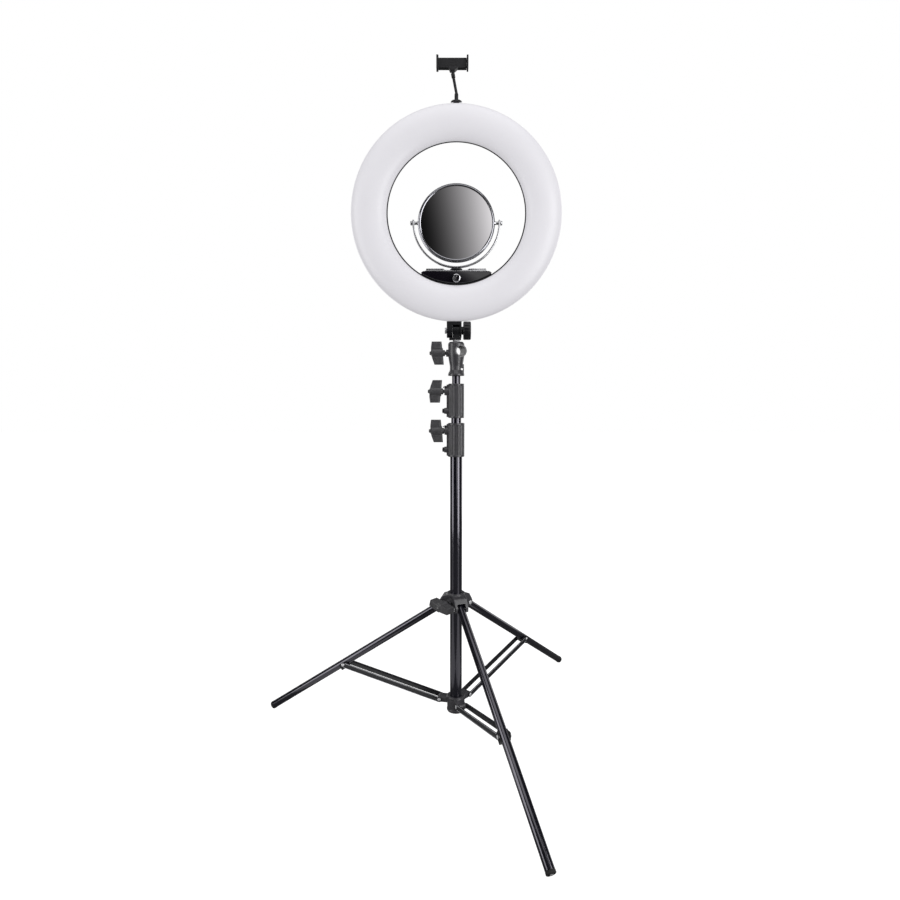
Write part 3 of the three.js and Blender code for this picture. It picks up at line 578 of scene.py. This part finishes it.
def make_hubs():
    top = z_span("leg_hub")[1]
    rim = lathe("z", [(14.4, top - 5), (21.2, top - 5), (21.2, top - 1), (20.4, top),
                      (14.4, top)], 48)
    moulded("leg_hub_casting", "leg_hub", MAST, "leg_hub", casting, [rim], voxel=0.6)
    low, high = z_span("lower_hub")
    rim = lathe("z", [(14.4, high - 4), (21.6, high - 4), (21.6, high - 1), (20.8, high),
                      (14.4, high)], 48)
    base = lathe("z", [(0, low), (19.5, low), (21.7, low + 2.4), (21.7, low + 6),
                       (15, low + 3.6), (0, low + 3.6)], 48)
    moulded("lower_hub_casting", "lower_hub", MAST, "column", casting, [rim, base], voxel=0.6)


# ---- mast -----------------------------------------------------------------------------


def make_tubes():
    sections = {"base_tube": (14, 1.2, "column"), "mid_tube": (11.5, 1.1, "mid_section"),
                "top_tube": (9.5, 1.2, "top_section")}
    for node, (radius, wall, body) in sections.items():
        piece(f"{node}_coat", [pipe("z", radius, wall, *z_span(node), 96)], MAST, body, black_coat,
              node)


def collar_shapes(node, radius):
    """Ribs down the outside, except at the screws, and a rim at each end."""
    low, high = z_span(node)
    shapes = []
    for degrees in range(-75, 256, 15):
        if 150 < degrees < 210:
            continue
        rib = block((radius - 2, radius + 0.5), (-1.1, 1.1), (low + 5, high - 5))
        shapes.append(moved(rib, turn=Matrix.Rotation(math.radians(degrees), 4, "Z")))
    inner = radius - 3
    for start, end in ((low, low + 4), (high - 4, high)):
        shapes.append(lathe("z", [(inner, start), (radius + 0.6, start), (radius + 0.6, end),
                                  (inner, end)], 64))
    return shapes


def make_collars():
    for node, radius, body in (("lower_collar", 18.6, "column"),
                               ("upper_collar", 17.4, "mid_section")):
        low, high = z_span(node)
        moulded(f"{node}_casting", node, MAST, body, casting, collar_shapes(node, radius),
                voxel=0.6, smooth=4)
        bolts = []
        for height, head, end, seat, socket_end in ((low + 16, 5.2, -31.5, -24, -32),
                                                    (high - 8, 3.0, -27, -22, -27.4)):
            bolts.append(moved(rod("x", head, end, seat), z=height))
            bolts.append(moved(hexagon("x", head * 0.5, socket_end, -30), z=height))
        piece(f"{node}_bolts", bolts, MAST, body, black_plastic, bevel=0.3)


# How far each knob is turned about its screw from upright, in degrees.
KNOB_SPINS = {"hub_knob": 75, "upper_collar_knob": 180}


def wing_knob(node):
    """A moulded wing knob on its screw, in the frame of its joint: +X out from the mast."""
    joint = joints[f"{node}_turn"]
    out = Vector(joint["axis"])
    spin = Matrix.Rotation(math.radians(KNOB_SPINS.get(node, 0)), 3, out)
    local = frame_at(joint["pos_m"], out, spin @ Vector((0, 0, 1)))
    grips = []
    for sign in (-1, 1):
        for face in (-1, 1):
            for step in range(5):
                z = sign * (11 + 3 * step)
                y = sorted((face * 7, face * 8.1))
                x = (6.5, 24.5) if sign > 0 else (2.5, 18.5)
                grips.append(block(x, y, (z - 0.7, z + 0.7)))
    boss = lathe("x", [(0, 22), (8.5, 22), (7.5, 27), (4.6, 28.5), (3.6, 31.5), (0, 32)], 40)
    moulded(f"{node}_moulding", node, local, node, knob_nylon, [boss, *grips], smooth=4)


def make_head():
    moulded("head_casting_body", "head_casting", MAST, "top_section", casting, smooth=6)
    low, high = z_span("head_stud")
    top = z_span("head_casting")[1]
    pitch = 1.25
    thread = []
    for i in range(int((high - low) / pitch)):
        z = low + pitch * i
        thread += [(4.75, z), (4.25, z + 0.62)]
    profile = [(0, low), *thread, (4.75, high - 1), (4.2, high), (0, high)]
    nut = hexagon("z", 8, top + 0.3, top + 4.7)
    piece("head_stud_steel", [lathe("z", profile, 32), nut], MAST, "top_section", zinc,
          "head_stud", bevel=0.25)


# ---- tilt joint -----------------------------------------------------------------------


def make_tilt():
    for node, body in (("tilt_base", "pan_base"), ("ring_bracket", "ring_head")):
        moulded(f"{node}_body", node, MAST, body, bracket_black, voxel=0.4)
    axis = joint_place("ring_tilt").z / MM
    low, high = (corner.x / MM - mast_centre.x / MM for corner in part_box("tilt_bolt"))
    bolt = [rod("x", 4, low + 2.2, high), hexagon("x", 7.5, low, low + 4.2)]
    piece("tilt_bolt_steel", [moved(s, z=axis) for s in bolt], MAST, "ring_head", zinc,
          "tilt_bolt", bevel=0.4)
    profile = [(0, 33), (9, 33), (11, 32.2), (16, 32.2), (18.8, 33), (20.2, 32.2), (20.6, 30.5),
               (20.6, 18.5), (20.2, 16.8), (18.8, 16), (10, 16), (9, 15.2), (9, 12.4), (4.4, 12.4),
               (4.4, 27.4), (0, 27.4)]
    knob = lathe("x", profile, 192, knurl(16, 0.045, 17))
    piece("tilt_knob_body", [moved(knob, z=axis)], MAST, "tilt_knob", bracket_black, "tilt_knob",
          angle=50)


# ---- ring head ------------------------------------------------------------------------

# Radii and Y places in millimetres, and where the housing's flare begins and ends.
RING_OUTER, RING_INNER, RING_FRONT, RING_BACK = 234.0, 152.0, -30.0, 22.0
INNER_BACK, INNER_EDGE = 165.5, -8.0


def make_diffuser():
    inner, rim, wall, steps = RING_INNER + 3, -6.0, 2.2, 36
    middle, half = (RING_OUTER + inner) / 2, (RING_OUTER - inner) / 2

    def arc(width, depth):
        return [(middle + width * math.cos(t), rim - depth * math.sin(t))
                for t in (math.pi * (1 - i / steps) for i in range(steps + 1))]

    outside = arc(half, rim - RING_FRONT)
    inside = arc(half - wall, rim - RING_FRONT - wall)[::-1]
    back = [(RING_OUTER, 1.6), (RING_OUTER - 0.4, 2.7), (RING_OUTER - 1, 3),
            (RING_OUTER - wall, 3)]
    piece("diffuser_shell", [lathe("y", [*outside, *back, *inside], 192)], RING, "ring_head",
          diffuser, "diffuser")


def make_rear_housing():
    wall, back = RING_OUTER - 2.5, RING_BACK
    outline = [
        (wall, -3), (wall, 4.2), (wall + 0.9, 4.4), (wall + 0.9, 6.4), (wall, 6.6), (wall, 14),
        (wall - 7, back), (wall - 17, back), (wall - 18, back - 1), (wall - 20, back - 1),
        (wall - 21, back), (RING_INNER + 23, back), (RING_INNER + 22, back - 1),
        (RING_INNER + 20, back - 1), (RING_INNER + 19, back), (INNER_BACK, back),
        (RING_INNER, INNER_EDGE), (RING_INNER + 2.6, INNER_EDGE),
        (RING_INNER + 2.6, INNER_EDGE + 2.5), (INNER_BACK + 1.6, back - 2.4),
        (wall - 8, back - 2.4), (wall - 2.4, 13), (wall - 2.4, -3),
    ]
    radii = [0.3, 0.3, 0.4, 0.4, 0.3, 2.5, 3, 0.4, 0.4, 0.4, 0.4, 0.4, 0.4, 0.4, 0.4, 2.5, 0.8,
             0.4, 0, 1, 1, 1, 0.3]
    piece("rear_housing_shell", [lathe("y", rounded(outline, radii, 3), 192)], RING, "ring_head",
          housing_plastic, "rear_housing")
    screws, recesses = [], []
    for i in range(12):
        angle = math.radians(15 + 30 * i)
        for radius in (RING_INNER + 30, wall - 12):
            screws.append(on_circle(dome("y", 2.6, back + 0.1, 0.8), radius, angle))
            ring = lathe("y", [(3.2, back - 0.2), (4.4, back - 0.2), (4.2, back + 0.5),
                               (3.4, back + 0.5)], 24)
            recesses.append(on_circle(ring, radius, angle))
    for row in range(3):
        for degrees in range(60, 121, 3):
            slot = block((-1.1, 1.1), (back - 0.3, back + 0.55), (-2.6, 2.6))
            radius = RING_INNER + 40 + 7 * row
            recesses.append(on_circle(slot, radius, math.radians(degrees), turned=True))
    piece("rear_housing_screws", screws, RING, "ring_head", zinc)
    piece("rear_housing_ribs", recesses, RING, "ring_head", housing_plastic)


def make_led_board():
    board = lathe("y", rounded([(165, 3), (227, 3), (227, 4.6), (165, 4.6)], 0.2, 2), 128)
    piece("led_board_ring", [board], RING, "ring_head", board_white, "led_board")
    lamps = []
    count = 72
    for row, radius in enumerate((173, 184, 196, 208, 219)):
        for i in range(count):
            angle = 2 * math.pi * (i + 0.5 * (row % 2)) / count
            chip = block((-1.4, 1.4), (2.2, 3.0), (-1.75, 1.75))
            lamps.append(on_circle(chip, radius, angle, turned=True))
    piece("led_chips", lamps, RING, "ring_head", lamp_yellow)


# ---- controls -------------------------------------------------------------------------

PANEL_TOP, PANEL_RADIUS, PANEL_HALF, PANEL_FRONT = -125.0, 151.2, 79.0, -15.0
DIMMER_Z = -141.8
HOUSING_BACK, REAR_Z, SWITCH_X, INLET_X = 20.0, -134, -42, 40


def crescent():
    """The control panel's outline: an arc below and a level edge above."""
    radius, half, top, steps = PANEL_RADIUS, PANEL_HALF, PANEL_TOP, 48
    low = -math.sqrt(radius**2 - half**2)
    start, end = math.atan2(low, -half), math.atan2(low, half)
    arc = [(radius * math.cos(a), radius * math.sin(a))
           for a in (start + (end - start) * i / steps for i in range(steps + 1))]
    corner = rounded([(half, low), (half - 5, top), (5 - half, top), (-half, low)],
                     [0, 4, 4, 0], 6)
    return arc[:-1] + corner[:-1]


def make_controls():
    panel = prism("y", crescent(), PANEL_FRONT, PANEL_FRONT + 2.7)
    piece("control_panel_gloss", [panel], RING, "ring_head", panel_gloss, "control_panel",
          bevel=0.7, angle=50)
    moulded("control_housing_body", "control_housing", RING, "ring_head", housing_plastic,
            voxel=0.55, smooth=4, keep=0.4)
    front = PANEL_FRONT
    sleeve = [(6.6, front - 9.2), (7.4, front - 10), (8.5, front - 9.6), (9, front - 8.6),
              (9, front - 1.2), (8.6, front - 0.4), (3.4, front - 0.4), (3.4, front - 7),
              (6.4, front - 7)]
    piece("dimmer_ring", [moved(lathe("y", sleeve, 96), z=DIMMER_Z)], RING, "dimmer_knob", chrome,
          "dimmer_knob")
    cap = [(0, front - 8.2), (5.6, front - 8.2), (6.3, front - 8.6), (6.3, front - 7.2),
           (0, front - 7.2)]
    mark = block((-0.6, 0.6), (front - 8.9, front - 8.1), (1.5, 5.2))
    piece("dimmer_cap", [moved(lathe("y", cap, 64), z=DIMMER_Z)], RING, "dimmer_knob", panel_gloss)
    piece("dimmer_mark", [moved(mark, z=DIMMER_Z)], RING, "dimmer_knob", aluminium, bevel=0.1)
    shaft = [rod("y", 6.5, front + 3, -2), rod("y", 3, front - 7, front + 3.7)]
    piece("dimmer_control_body", [moved(s, z=DIMMER_Z) for s in shaft], RING, "ring_head", zinc,
          "dimmer_control")
    back = HOUSING_BACK
    rocker = [(-8.5, -1), (8.5, -1), (8.5, 3.2), (0, 3.6), (-8.5, 6)]
    rocker = rounded(rocker, [0.5, 0.5, 0.8, 6, 0.8], 5)
    rocker = moved(prism("z", rocker, -5, 5), x=SWITCH_X, y=back - 2, z=REAR_Z)
    piece("power_switch_rocker", [rocker], RING, "power_switch", panel_gloss, "power_switch",
          bevel=0.4)
    sides = (((-12.2, -10.6), (-7, 7)), ((10.6, 12.2), (-7, 7)),
             ((-12.2, 12.2), (5.7, 7)), ((-12.2, 12.2), (-7, -5.7)))
    bezel = [moved(block(x, (back, back + 1.1), z), x=SWITCH_X, z=REAR_Z) for x, z in sides]
    piece("power_switch_bezel", bezel, RING, "ring_head", black_plastic, bevel=0.2)
    socket = [(2.7, 14.2), (2.7, back + 1.2), (3, back + 1.6), (6.6, back + 1.6),
              (7, back + 1.2), (7, back + 0.35), (5.5, back + 0.3), (5.5, 10), (0, 10), (0, 14.2)]
    inlet = moved(lathe("y", socket, 48), x=INLET_X, z=REAR_Z)
    piece("power_inlet_body", [inlet], RING, "ring_head", black_plastic, "power_inlet")
    pin = moved(rod("y", 0.9, 12, back - 1), x=INLET_X, z=REAR_Z)
    piece("power_inlet_pin", [pin], RING, "ring_head", zinc)
    plate = rounded([(-9, PANEL_TOP + 0.3), (22.2, PANEL_TOP + 0.3), (22.2, PANEL_TOP + 2.5),
                     (-9, PANEL_TOP + 2.5)], 0.8, 4)
    side, dip, top = 69, PANEL_TOP + 9.6, PANEL_TOP + 12.6
    lip = rounded([(-side, PANEL_TOP + 0.5), (side, PANEL_TOP + 0.5), (side, top), (29, top),
                   (26, dip), (-26, dip), (-29, top), (-side, top)],
                  [1, 1, 2.5, 3, 3, 3, 3, 2.5], 5)
    piece("shelf_plate_metal", [prism("x", plate, -side, side), prism("y", lip, back, 22.2)], RING,
          "ring_head", aluminium, "shelf_plate", bevel=0.4, angle=50)


def finish_boards():
    """The driver board keeps its CAD mesh, with a material and components of its own."""
    materials = frame["nodes"]["driver_board"].data.materials
    materials.clear()
    materials.append(board_green.material)
    parts = []
    for x, y, z, r, h in ((-26, 4, -136, 3.6, 9), (-16, 4, -134, 3.6, 9), (14, 4, -136, 4.4, 7)):
        parts.append(moved(rod("y", r, -h, -0.1), x=x, y=y, z=z))
    parts += [block((-6, 5), (-1, 3.9), (-140, -132)), block((22, 32), (1, 3.9), (-139, -133))]
    piece("driver_components", parts, RING, "ring_head", black_plastic, bevel=0.3)


# ---- mirror ---------------------------------------------------------------------------

MIRROR_Z = -18.0  # below the ring's centre
GLASS, WINDOW, YOKE_INNER, YOKE_OUTER = 81.0, 79.5, 94.0, 98.0  # radii


def make_mirror():
    local = RING @ Matrix.Translation((0, 0, MIRROR_Z))
    half = [(WINDOW, 4), (WINDOW, 5.2), (80.4, 5.8), (81.8, 6), (83.2, 5.6), (84, 4.6),
            (84.2, 3.4), (84.9, 3), (85.8, 2.2), (86, 1)]
    mirrored = [(r, -y) for r, y in reversed(half)]
    seat = [(GLASS + 0.3, -3.95), (GLASS + 0.3, 3.95)]
    piece("mirror_frame_chrome", [lathe("y", [*half, *mirrored, *seat], 160)], local, "mirror",
          frame_chrome, "mirror_frame", angle=50)
    pins = []
    for sign in (-1, 1):
        profile = [(0, 84.6), (4.6, 84.8), (3.8, 86.4), (3.4, 88), (3.4, 92.6), (3.8, 93.7),
                   (2.5, 93.7), (2.5, 98.3), (4.5, 98.3), (4.6, 99), (4.6, 101.6), (3.6, 102.6),
                   (0, 102.9)]
        pins.append(lathe("x", [(r, sign * h) for r, h in profile], 40))
    piece("mirror_pivots", pins, local, "mirror", chrome, angle=50)
    for node, near, far in (("mirror_glass_plain", -3.7, -0.7),
                            ("mirror_glass_magnifying", 3.7, 0.7)):
        dish = 0.8 if near > 0 else 0.0
        steps = 16
        face = [(GLASS * i / steps, near - dish * (1 - (i / steps) ** 2))
                for i in range(steps + 1)]
        profile = [*face[:-1], (GLASS - 0.5, near), (GLASS, near - math.copysign(0.5, near)),
                   (GLASS, far), (0, far)]
        piece(f"{node}_silver", [lathe("y", profile, 128)], local, "mirror", mirror_silver, node)
    make_yoke(local)
    low, high = PANEL_TOP + 2.8 - MIRROR_Z, -YOKE_OUTER - 0.5
    wheel = [(4.3, low), (11.6, low), (13.2, low + 0.8), (14, low + 2), (14, high - 2.6),
             (13, high - 1.4), (9, high - 0.9), (6.4, high), (4.3, high)]
    piece("mirror_lock_wheel_body", [lathe("z", wheel, 192, knurl(24, 0.03, 12))], local,
          "mirror_lock_wheel", black_plastic, "mirror_lock_wheel", angle=50)


def make_yoke(local):
    """A half ring of rounded strip with an eye at each end and a stem below."""
    section = rounded([(-2, -4.5), (2, -4.5), (2, 4.5), (-2, 4.5)], 1.6, 4)
    middle = (YOKE_INNER + YOKE_OUTER) / 2
    steps = 96
    rings = [((-middle, height), (-1, 0)) for height in (6.6, 3.3)]
    for i in range(steps + 1):
        a = math.pi + math.pi * i / steps
        rings.append(((middle * math.cos(a), middle * math.sin(a)), (math.cos(a), math.sin(a))))
    rings += [((middle, height), (1, 0)) for height in (3.3, 6.6)]
    count = len(section)
    points = [(x + u * nx, v, z + u * nz) for (x, z), (nx, nz) in rings for u, v in section]
    faces = side_faces(count, len(rings))
    faces += [tuple(range(count)), tuple(range(len(points) - count, len(points)))]
    stem_end = PANEL_TOP - 2 - MIRROR_Z
    stem = lathe("z", [(0, stem_end), (4, stem_end), (4, -103), (4, -99.5), (6.5, -98),
                       (6.5, -96.5), (4.5, -95.4), (0, -95)], 48)
    piece("mirror_yoke_chrome", [(points, faces)], local, "mirror_yoke", chrome, "mirror_yoke",
          bevel=0.5, angle=60)
    piece("mirror_yoke_stem", [stem], local, "mirror_yoke", black_plastic)


# ---- phone holder ---------------------------------------------------------------------

SHOE_Z, SLEEVE_TOP, NECK_STEP, NECK_GAP = 235.0, 262.0, 16.5, 1.5


def make_holder():
    shoe_y = (joint_place("holder_pan").y - mast_centre.y) / MM
    local = RING @ Matrix.Translation((0, shoe_y, 0))
    z = SHOE_Z
    piece("accessory_shoe_metal", [cad_shape("accessory_shoe", local)], local, "ring_head", zinc,
          "accessory_shoe", bevel=0.25)
    foot = [block((-9, 9), (-7.5, 7.5), (z + 2.3, z + 4.3)), rod("z", 3, z + 4, 256.2)]
    piece("holder_foot_metal", foot, local, "ring_head", zinc, "holder_foot", bevel=0.25)
    low = z + 6.3
    wheel = [(3.3, low), (11, low), (12.2, low + 0.6), (12.5, low + 1.4), (12.5, low + 3.4),
             (12, low + 4.1), (10.6, low + 4.6), (3.3, low + 4.6)]
    piece("holder_lock_wheel_body", [lathe("z", wheel, 224, knurl(28, 0.035, 11))], local,
          "holder_lock_wheel", black_plastic, "holder_lock_wheel", angle=50)
    low += 4.9
    sleeve = [(3.3, low), (4.2, low), (4.2, low + 1), (3.9, low + 1.3), (3.9, low + 1.8),
              (4.2, low + 2.1), (4.2, SLEEVE_TOP - 2.6), (3.9, SLEEVE_TOP - 2.2),
              (3.9, SLEEVE_TOP - 1.7), (4.2, SLEEVE_TOP - 1.4), (4.0, SLEEVE_TOP), (0, SLEEVE_TOP),
              (0, 256.5), (3.3, 256.5)]
    piece("gooseneck_base_sleeve", [lathe("z", sleeve, 48)], local, "gooseneck_base",
          black_plastic, "gooseneck_base")
    make_neck(local)


def make_neck(local):
    """Ribbed neck covers, each spanning one joint, and the upper sleeve."""
    lean = Matrix.Rotation(-NECK_LEAN, 4, "Y")
    neck = local @ Matrix.Translation((0, 0, SLEEVE_TOP + NECK_GAP)) @ lean

    def ribbed(low, high):
        profile = [(0, low)]
        turns = max(3, round((high - low) / 1.6))
        for i in range(turns):
            a = low + (high - low) * i / turns
            b = low + (high - low) * (i + 1) / turns
            profile += [(2.75, a + 0.05), (3.1, a + (b - a) * 0.3), (3.1, a + (b - a) * 0.7)]
        return lathe("z", [*profile, (2.75, high), (0, high)], 28)

    spans = [("gooseneck_base", "gooseneck_lower", -1.45, 7.5, -0.75, "gooseneck_lower"),
             ("gooseneck_lower", "gooseneck_upper", 7.5, 24, 15.75, "gooseneck_upper"),
             ("gooseneck_upper", "gooseneck_top", 24, 33, 32.25, None)]
    for number, (first, second, low, high, pivot, node) in enumerate(spans, 1):
        obj = piece(f"gooseneck_cover_{number}", [ribbed(low, high)], neck, None, flex, node)
        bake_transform(obj)
    top = neck @ Matrix.Translation((0, 0, 2 * NECK_STEP))
    ball_at = 14.5
    ball = [(4 * math.cos(a), ball_at + 4 * math.sin(a))
            for a in (math.radians(-56 + 146 * i / 14) for i in range(15))]
    profile = [(0, 0), (4, 0), (4.2, 0.6), (4.2, 1.4), (3.9, 1.7), (3.9, 2.2), (4.2, 2.5),
               (4.2, 8.4), (3.8, 9.2), (2.2, 9.5), (2.2, 10.9), *ball[:-1], (0, ball_at + 4)]
    piece("gooseneck_top_ball", [lathe("z", profile, 48)], top, "gooseneck_top", black_plastic,
          "gooseneck_top")


def make_clamp():
    local = frame_at(joint_place("clamp_tilt"))
    half, low, high = 31.5, 5.0, 26.0
    middle = (low + high) / 2
    grooves = [(-3.6, low)]
    rows = 6
    pitch = (high - low) / rows
    for i in range(rows):
        z = low + pitch * i
        grooves += [(-4, z + 0.5), (-4, z + pitch - 0.9), (-3.3, z + pitch - 0.6),
                    (-3.3, z + pitch - 0.2)]
    side = [*grooves, (-3.6, high), (6, high), (7, high - 1.5), (7, low + 1.5), (6, low)]
    moulded("clamp_body_core", "clamp_body", local, "clamp", black_plastic, voxel=0.45, smooth=4,
            keep=0.4)
    face = prism("x", [(y - 0.15, z) for y, z in side if y < 0] + [(-2, high), (-2, low)],
                 -half + 1.5, half - 0.6)
    piece("clamp_body_face", [face], local, "clamp", black_plastic)
    jaw_pad(local, -half + 1, middle, "clamp_fixed_jaw", "clamp", -1)
    moulded("clamp_jaw_core", "clamp_jaw", local, "clamp_jaw", black_plastic, voxel=0.45, smooth=4,
            keep=0.4)
    jaw_pad(local, half + 0.3, middle, "clamp_sliding_jaw", "clamp_jaw", 1)


def jaw_pad(local, inner, middle, name, body, sign):
    """The ribbed rubber pad on the inside of a jaw."""
    pads = []
    for i in range(7):
        z = middle - 10.8 + 3.6 * i
        x = sorted((inner, inner - sign * 0.28))
        pads.append(block(x, (-11.4, -4.6), (z - 1, z + 1)))
    piece(f"{name}_pad", pads, local, body, rubber, bevel=0.1)


# ---- build ----------------------------------------------------------------------------

for side_name in SIDES:
    make_leg(side_name)
    make_brace(side_name)
    make_leg_pin(side_name)
make_hubs()
make_tubes()
make_collars()
for knob_node in ("hub_knob", "lower_collar_knob", "upper_collar_knob", "head_knob"):
    wing_knob(knob_node)
make_head()
make_tilt()
make_diffuser()
make_rear_housing()
make_led_board()
make_controls()
finish_boards()
make_mirror()
make_holder()
make_clamp()

# ---- camera, light and floor ----------------------------------------------------------

# The camera fitted to the photo: lens and sensor in millimetres, its place from the mast in
# metres, and how many degrees it looks down.
LENS, SENSOR_WIDTH = 23.76, 36
CAMERA_X, CAMERA_Y, CAMERA_Z, CAMERA_DIP = -0.0141, -1.3654, 0.7906, 5.05

scene = bpy.context.scene
scene.view_settings.view_transform = "Standard"

camera_data = bpy.data.cameras.new("camera")
camera_data.lens = LENS
camera_data.sensor_width = SENSOR_WIDTH
camera_data.clip_end = 50
camera = bpy.data.objects.new("camera", camera_data)
scene.collection.objects.link(camera)
camera.location = (mast_centre.x + CAMERA_X, mast_centre.y + CAMERA_Y, CAMERA_Z)
camera.rotation_euler = (math.radians(90 - CAMERA_DIP), 0, 0)
scene.camera = camera


def area_light(name, place, target, size, radiance):
    """A soft panel of one radiance, unseen by the camera."""
    data = bpy.data.lights.new(name, "AREA")
    data.shape = "RECTANGLE"
    data.size, data.size_y = size
    data.energy = radiance * math.pi * size[0] * size[1]
    light = bpy.data.objects.new(name, data)
    scene.collection.objects.link(light)
    light.location = place
    light.rotation_euler = (Vector(target) - Vector(place)).to_track_quat("-Z", "Y").to_euler()
    light.visible_camera = False
    return light


def upright(name, degrees, distance, height, size, radiance, target_height):
    """A panel round the mast, at an angle to the right of the camera, facing the mast."""
    angle = math.radians(degrees)
    place = foot + Vector((math.sin(angle) * distance, -math.cos(angle) * distance, height))
    area_light(name, place, foot + Vector((0, 0, target_height)), size, radiance)


def side_panels(name, degrees, radiance, low_radiance):
    """An upright panel to one side of the camera, and its bounce low over the floor."""
    upright(name, degrees, 2.4, 1.25, (1.3, 2.4), radiance, 1.25)
    angle = math.radians(degrees)
    low = foot + Vector((math.sin(angle), -math.cos(angle), 0)) * 1.2 + Vector((0, 0, 0.01))
    bounce = area_light(f"{name}_bounce", low, low + Vector((0, 0, 1)), (0.4, 2.1),
                        low_radiance)
    bounce.rotation_euler = (math.pi, 0, angle)


foot = mast_centre.xy.to_3d()
side_panels("left_panel", -66, 2.4, 0.4)
side_panels("right_panel", 47, 3.9, 0.5)
area_light("top_panel", foot + Vector((0, -0.9, 3.0)), foot + Vector((0, -0.9, 0)), (2.4, 2.6),
           1.1)
for panel, heading in (("back_left_panel", -148), ("back_right_panel", 140)):
    upright(panel, heading, 2.6, 1.2, (2.0, 2.3), 0.8, 1.0)


class Nodes:
    """A short way to add and join shader nodes."""

    def __init__(self, tree):
        tree.nodes.clear()
        self.tree = tree

    def wire(self, node, sockets):
        """Sets or links inputs, which go by name or by number."""
        for key, value in sockets.items():
            if isinstance(value, bpy.types.NodeSocket):
                self.tree.links.new(value, node.inputs[key])
            else:
                node.inputs[key].default_value = value
        return node

    def add(self, kind, **values):
        sockets = {name.replace("_", " "): value for name, value in values.items()}
        return self.wire(self.tree.nodes.new(kind), sockets)

    def combine(self, kind, *values, operation=None, places=(0, 1, 2)):
        """Adds a node whose inputs go by number, and gives its first output."""
        node = self.tree.nodes.new(kind)
        if operation:
            node.operation = operation
        return self.wire(node, dict(zip(places, values))).outputs[0]

    def span(self, value, start, end, low, high):
        return self.add("ShaderNodeMapRange", Value=value, From_Min=start, From_Max=end,
                        To_Min=low, To_Max=high).outputs["Result"]

    def mix(self, factor, first, second):
        return self.combine("ShaderNodeMix", factor, first, second, places=(0, 2, 3))


# What the mirror shows: how far the wall's ramp reaches sideways and how much it leans
# upwards, its curve, its darkest and lightest tone, and where the wall ends and the dim room
# begins.
MIRROR_SPAN, MIRROR_SLANT, MIRROR_CURVE = (0.0, 0.121), 0.19, 2.3
MIRROR_WALL, WALL_EDGE = (0.005, 0.78), (-0.93, -0.80)
ROOM_REFLECTED, ROOM_LIGHT = 0.03, 0.36
# What the floor gives back to the camera (its glow and its grey) and to everything else.
FLOOR_GLOW, FLOOR_SEEN, FLOOR_BOUNCE = 0.97, 0.25, 0.12


def make_world():
    """White behind the object; a dim room for its light, and in reflections a wall behind the
    camera that goes from dark on the left to light on the right."""
    world = bpy.data.worlds.new("studio")
    scene.world = world
    world.use_nodes = True
    nodes = Nodes(world.node_tree)
    path = nodes.add("ShaderNodeLightPath")
    direction = nodes.add("ShaderNodeSeparateXYZ",
                          Vector=nodes.add("ShaderNodeTexCoord").outputs["Generated"])
    slant = nodes.combine("ShaderNodeMath", direction.outputs["Z"], MIRROR_SLANT,
                          direction.outputs["X"], operation="MULTIPLY_ADD")
    curve = nodes.combine("ShaderNodeMath", nodes.span(slant, *MIRROR_SPAN, 0.0, 1.0),
                          MIRROR_CURVE, operation="POWER")
    wall = nodes.span(curve, 0.0, 1.0, *MIRROR_WALL)
    behind = nodes.span(direction.outputs["Y"], *WALL_EDGE, 1.0, 0.0)
    room = nodes.mix(behind, ROOM_REFLECTED, wall)
    unseen = nodes.mix(path.outputs["Is Glossy Ray"], ROOM_LIGHT, room)
    tone = nodes.mix(path.outputs["Is Camera Ray"], unseen, 1.0)
    light = nodes.add("ShaderNodeBackground", Color=(1, 1, 1, 1), Strength=tone)
    nodes.add("ShaderNodeOutputWorld", Surface=light.outputs["Background"])


def make_floor():
    """A pale floor that looks white but lights the object's underside only softly."""
    reach = 12.0
    corners = [(-reach, -reach, 0), (reach, -reach, 0), (reach, reach, 0), (-reach, reach, 0)]
    mesh = bpy.data.meshes.new("floor")
    mesh.from_pydata(corners, [], [(0, 1, 2, 3)])
    floor = bpy.data.objects.new("floor", mesh)
    scene.collection.objects.link(floor)
    paint = bpy.data.materials.new("floor_paint")
    paint.use_nodes = True
    nodes = Nodes(paint.node_tree)
    path = nodes.add("ShaderNodeLightPath")
    pale, dim = (nodes.add("ShaderNodeBsdfDiffuse", Color=(tone, tone, tone, 1)).outputs[0]
                 for tone in (FLOOR_SEEN, FLOOR_BOUNCE))
    glow = nodes.add("ShaderNodeEmission", Color=(1, 1, 1, 1), Strength=FLOOR_GLOW)
    bright = nodes.combine("ShaderNodeAddShader", pale, glow.outputs[0])
    choice = nodes.combine("ShaderNodeMixShader", path.outputs["Is Camera Ray"], dim, bright)
    nodes.add("ShaderNodeOutputMaterial", Surface=choice)
    mesh.materials.append(paint)


make_world()
make_floor()
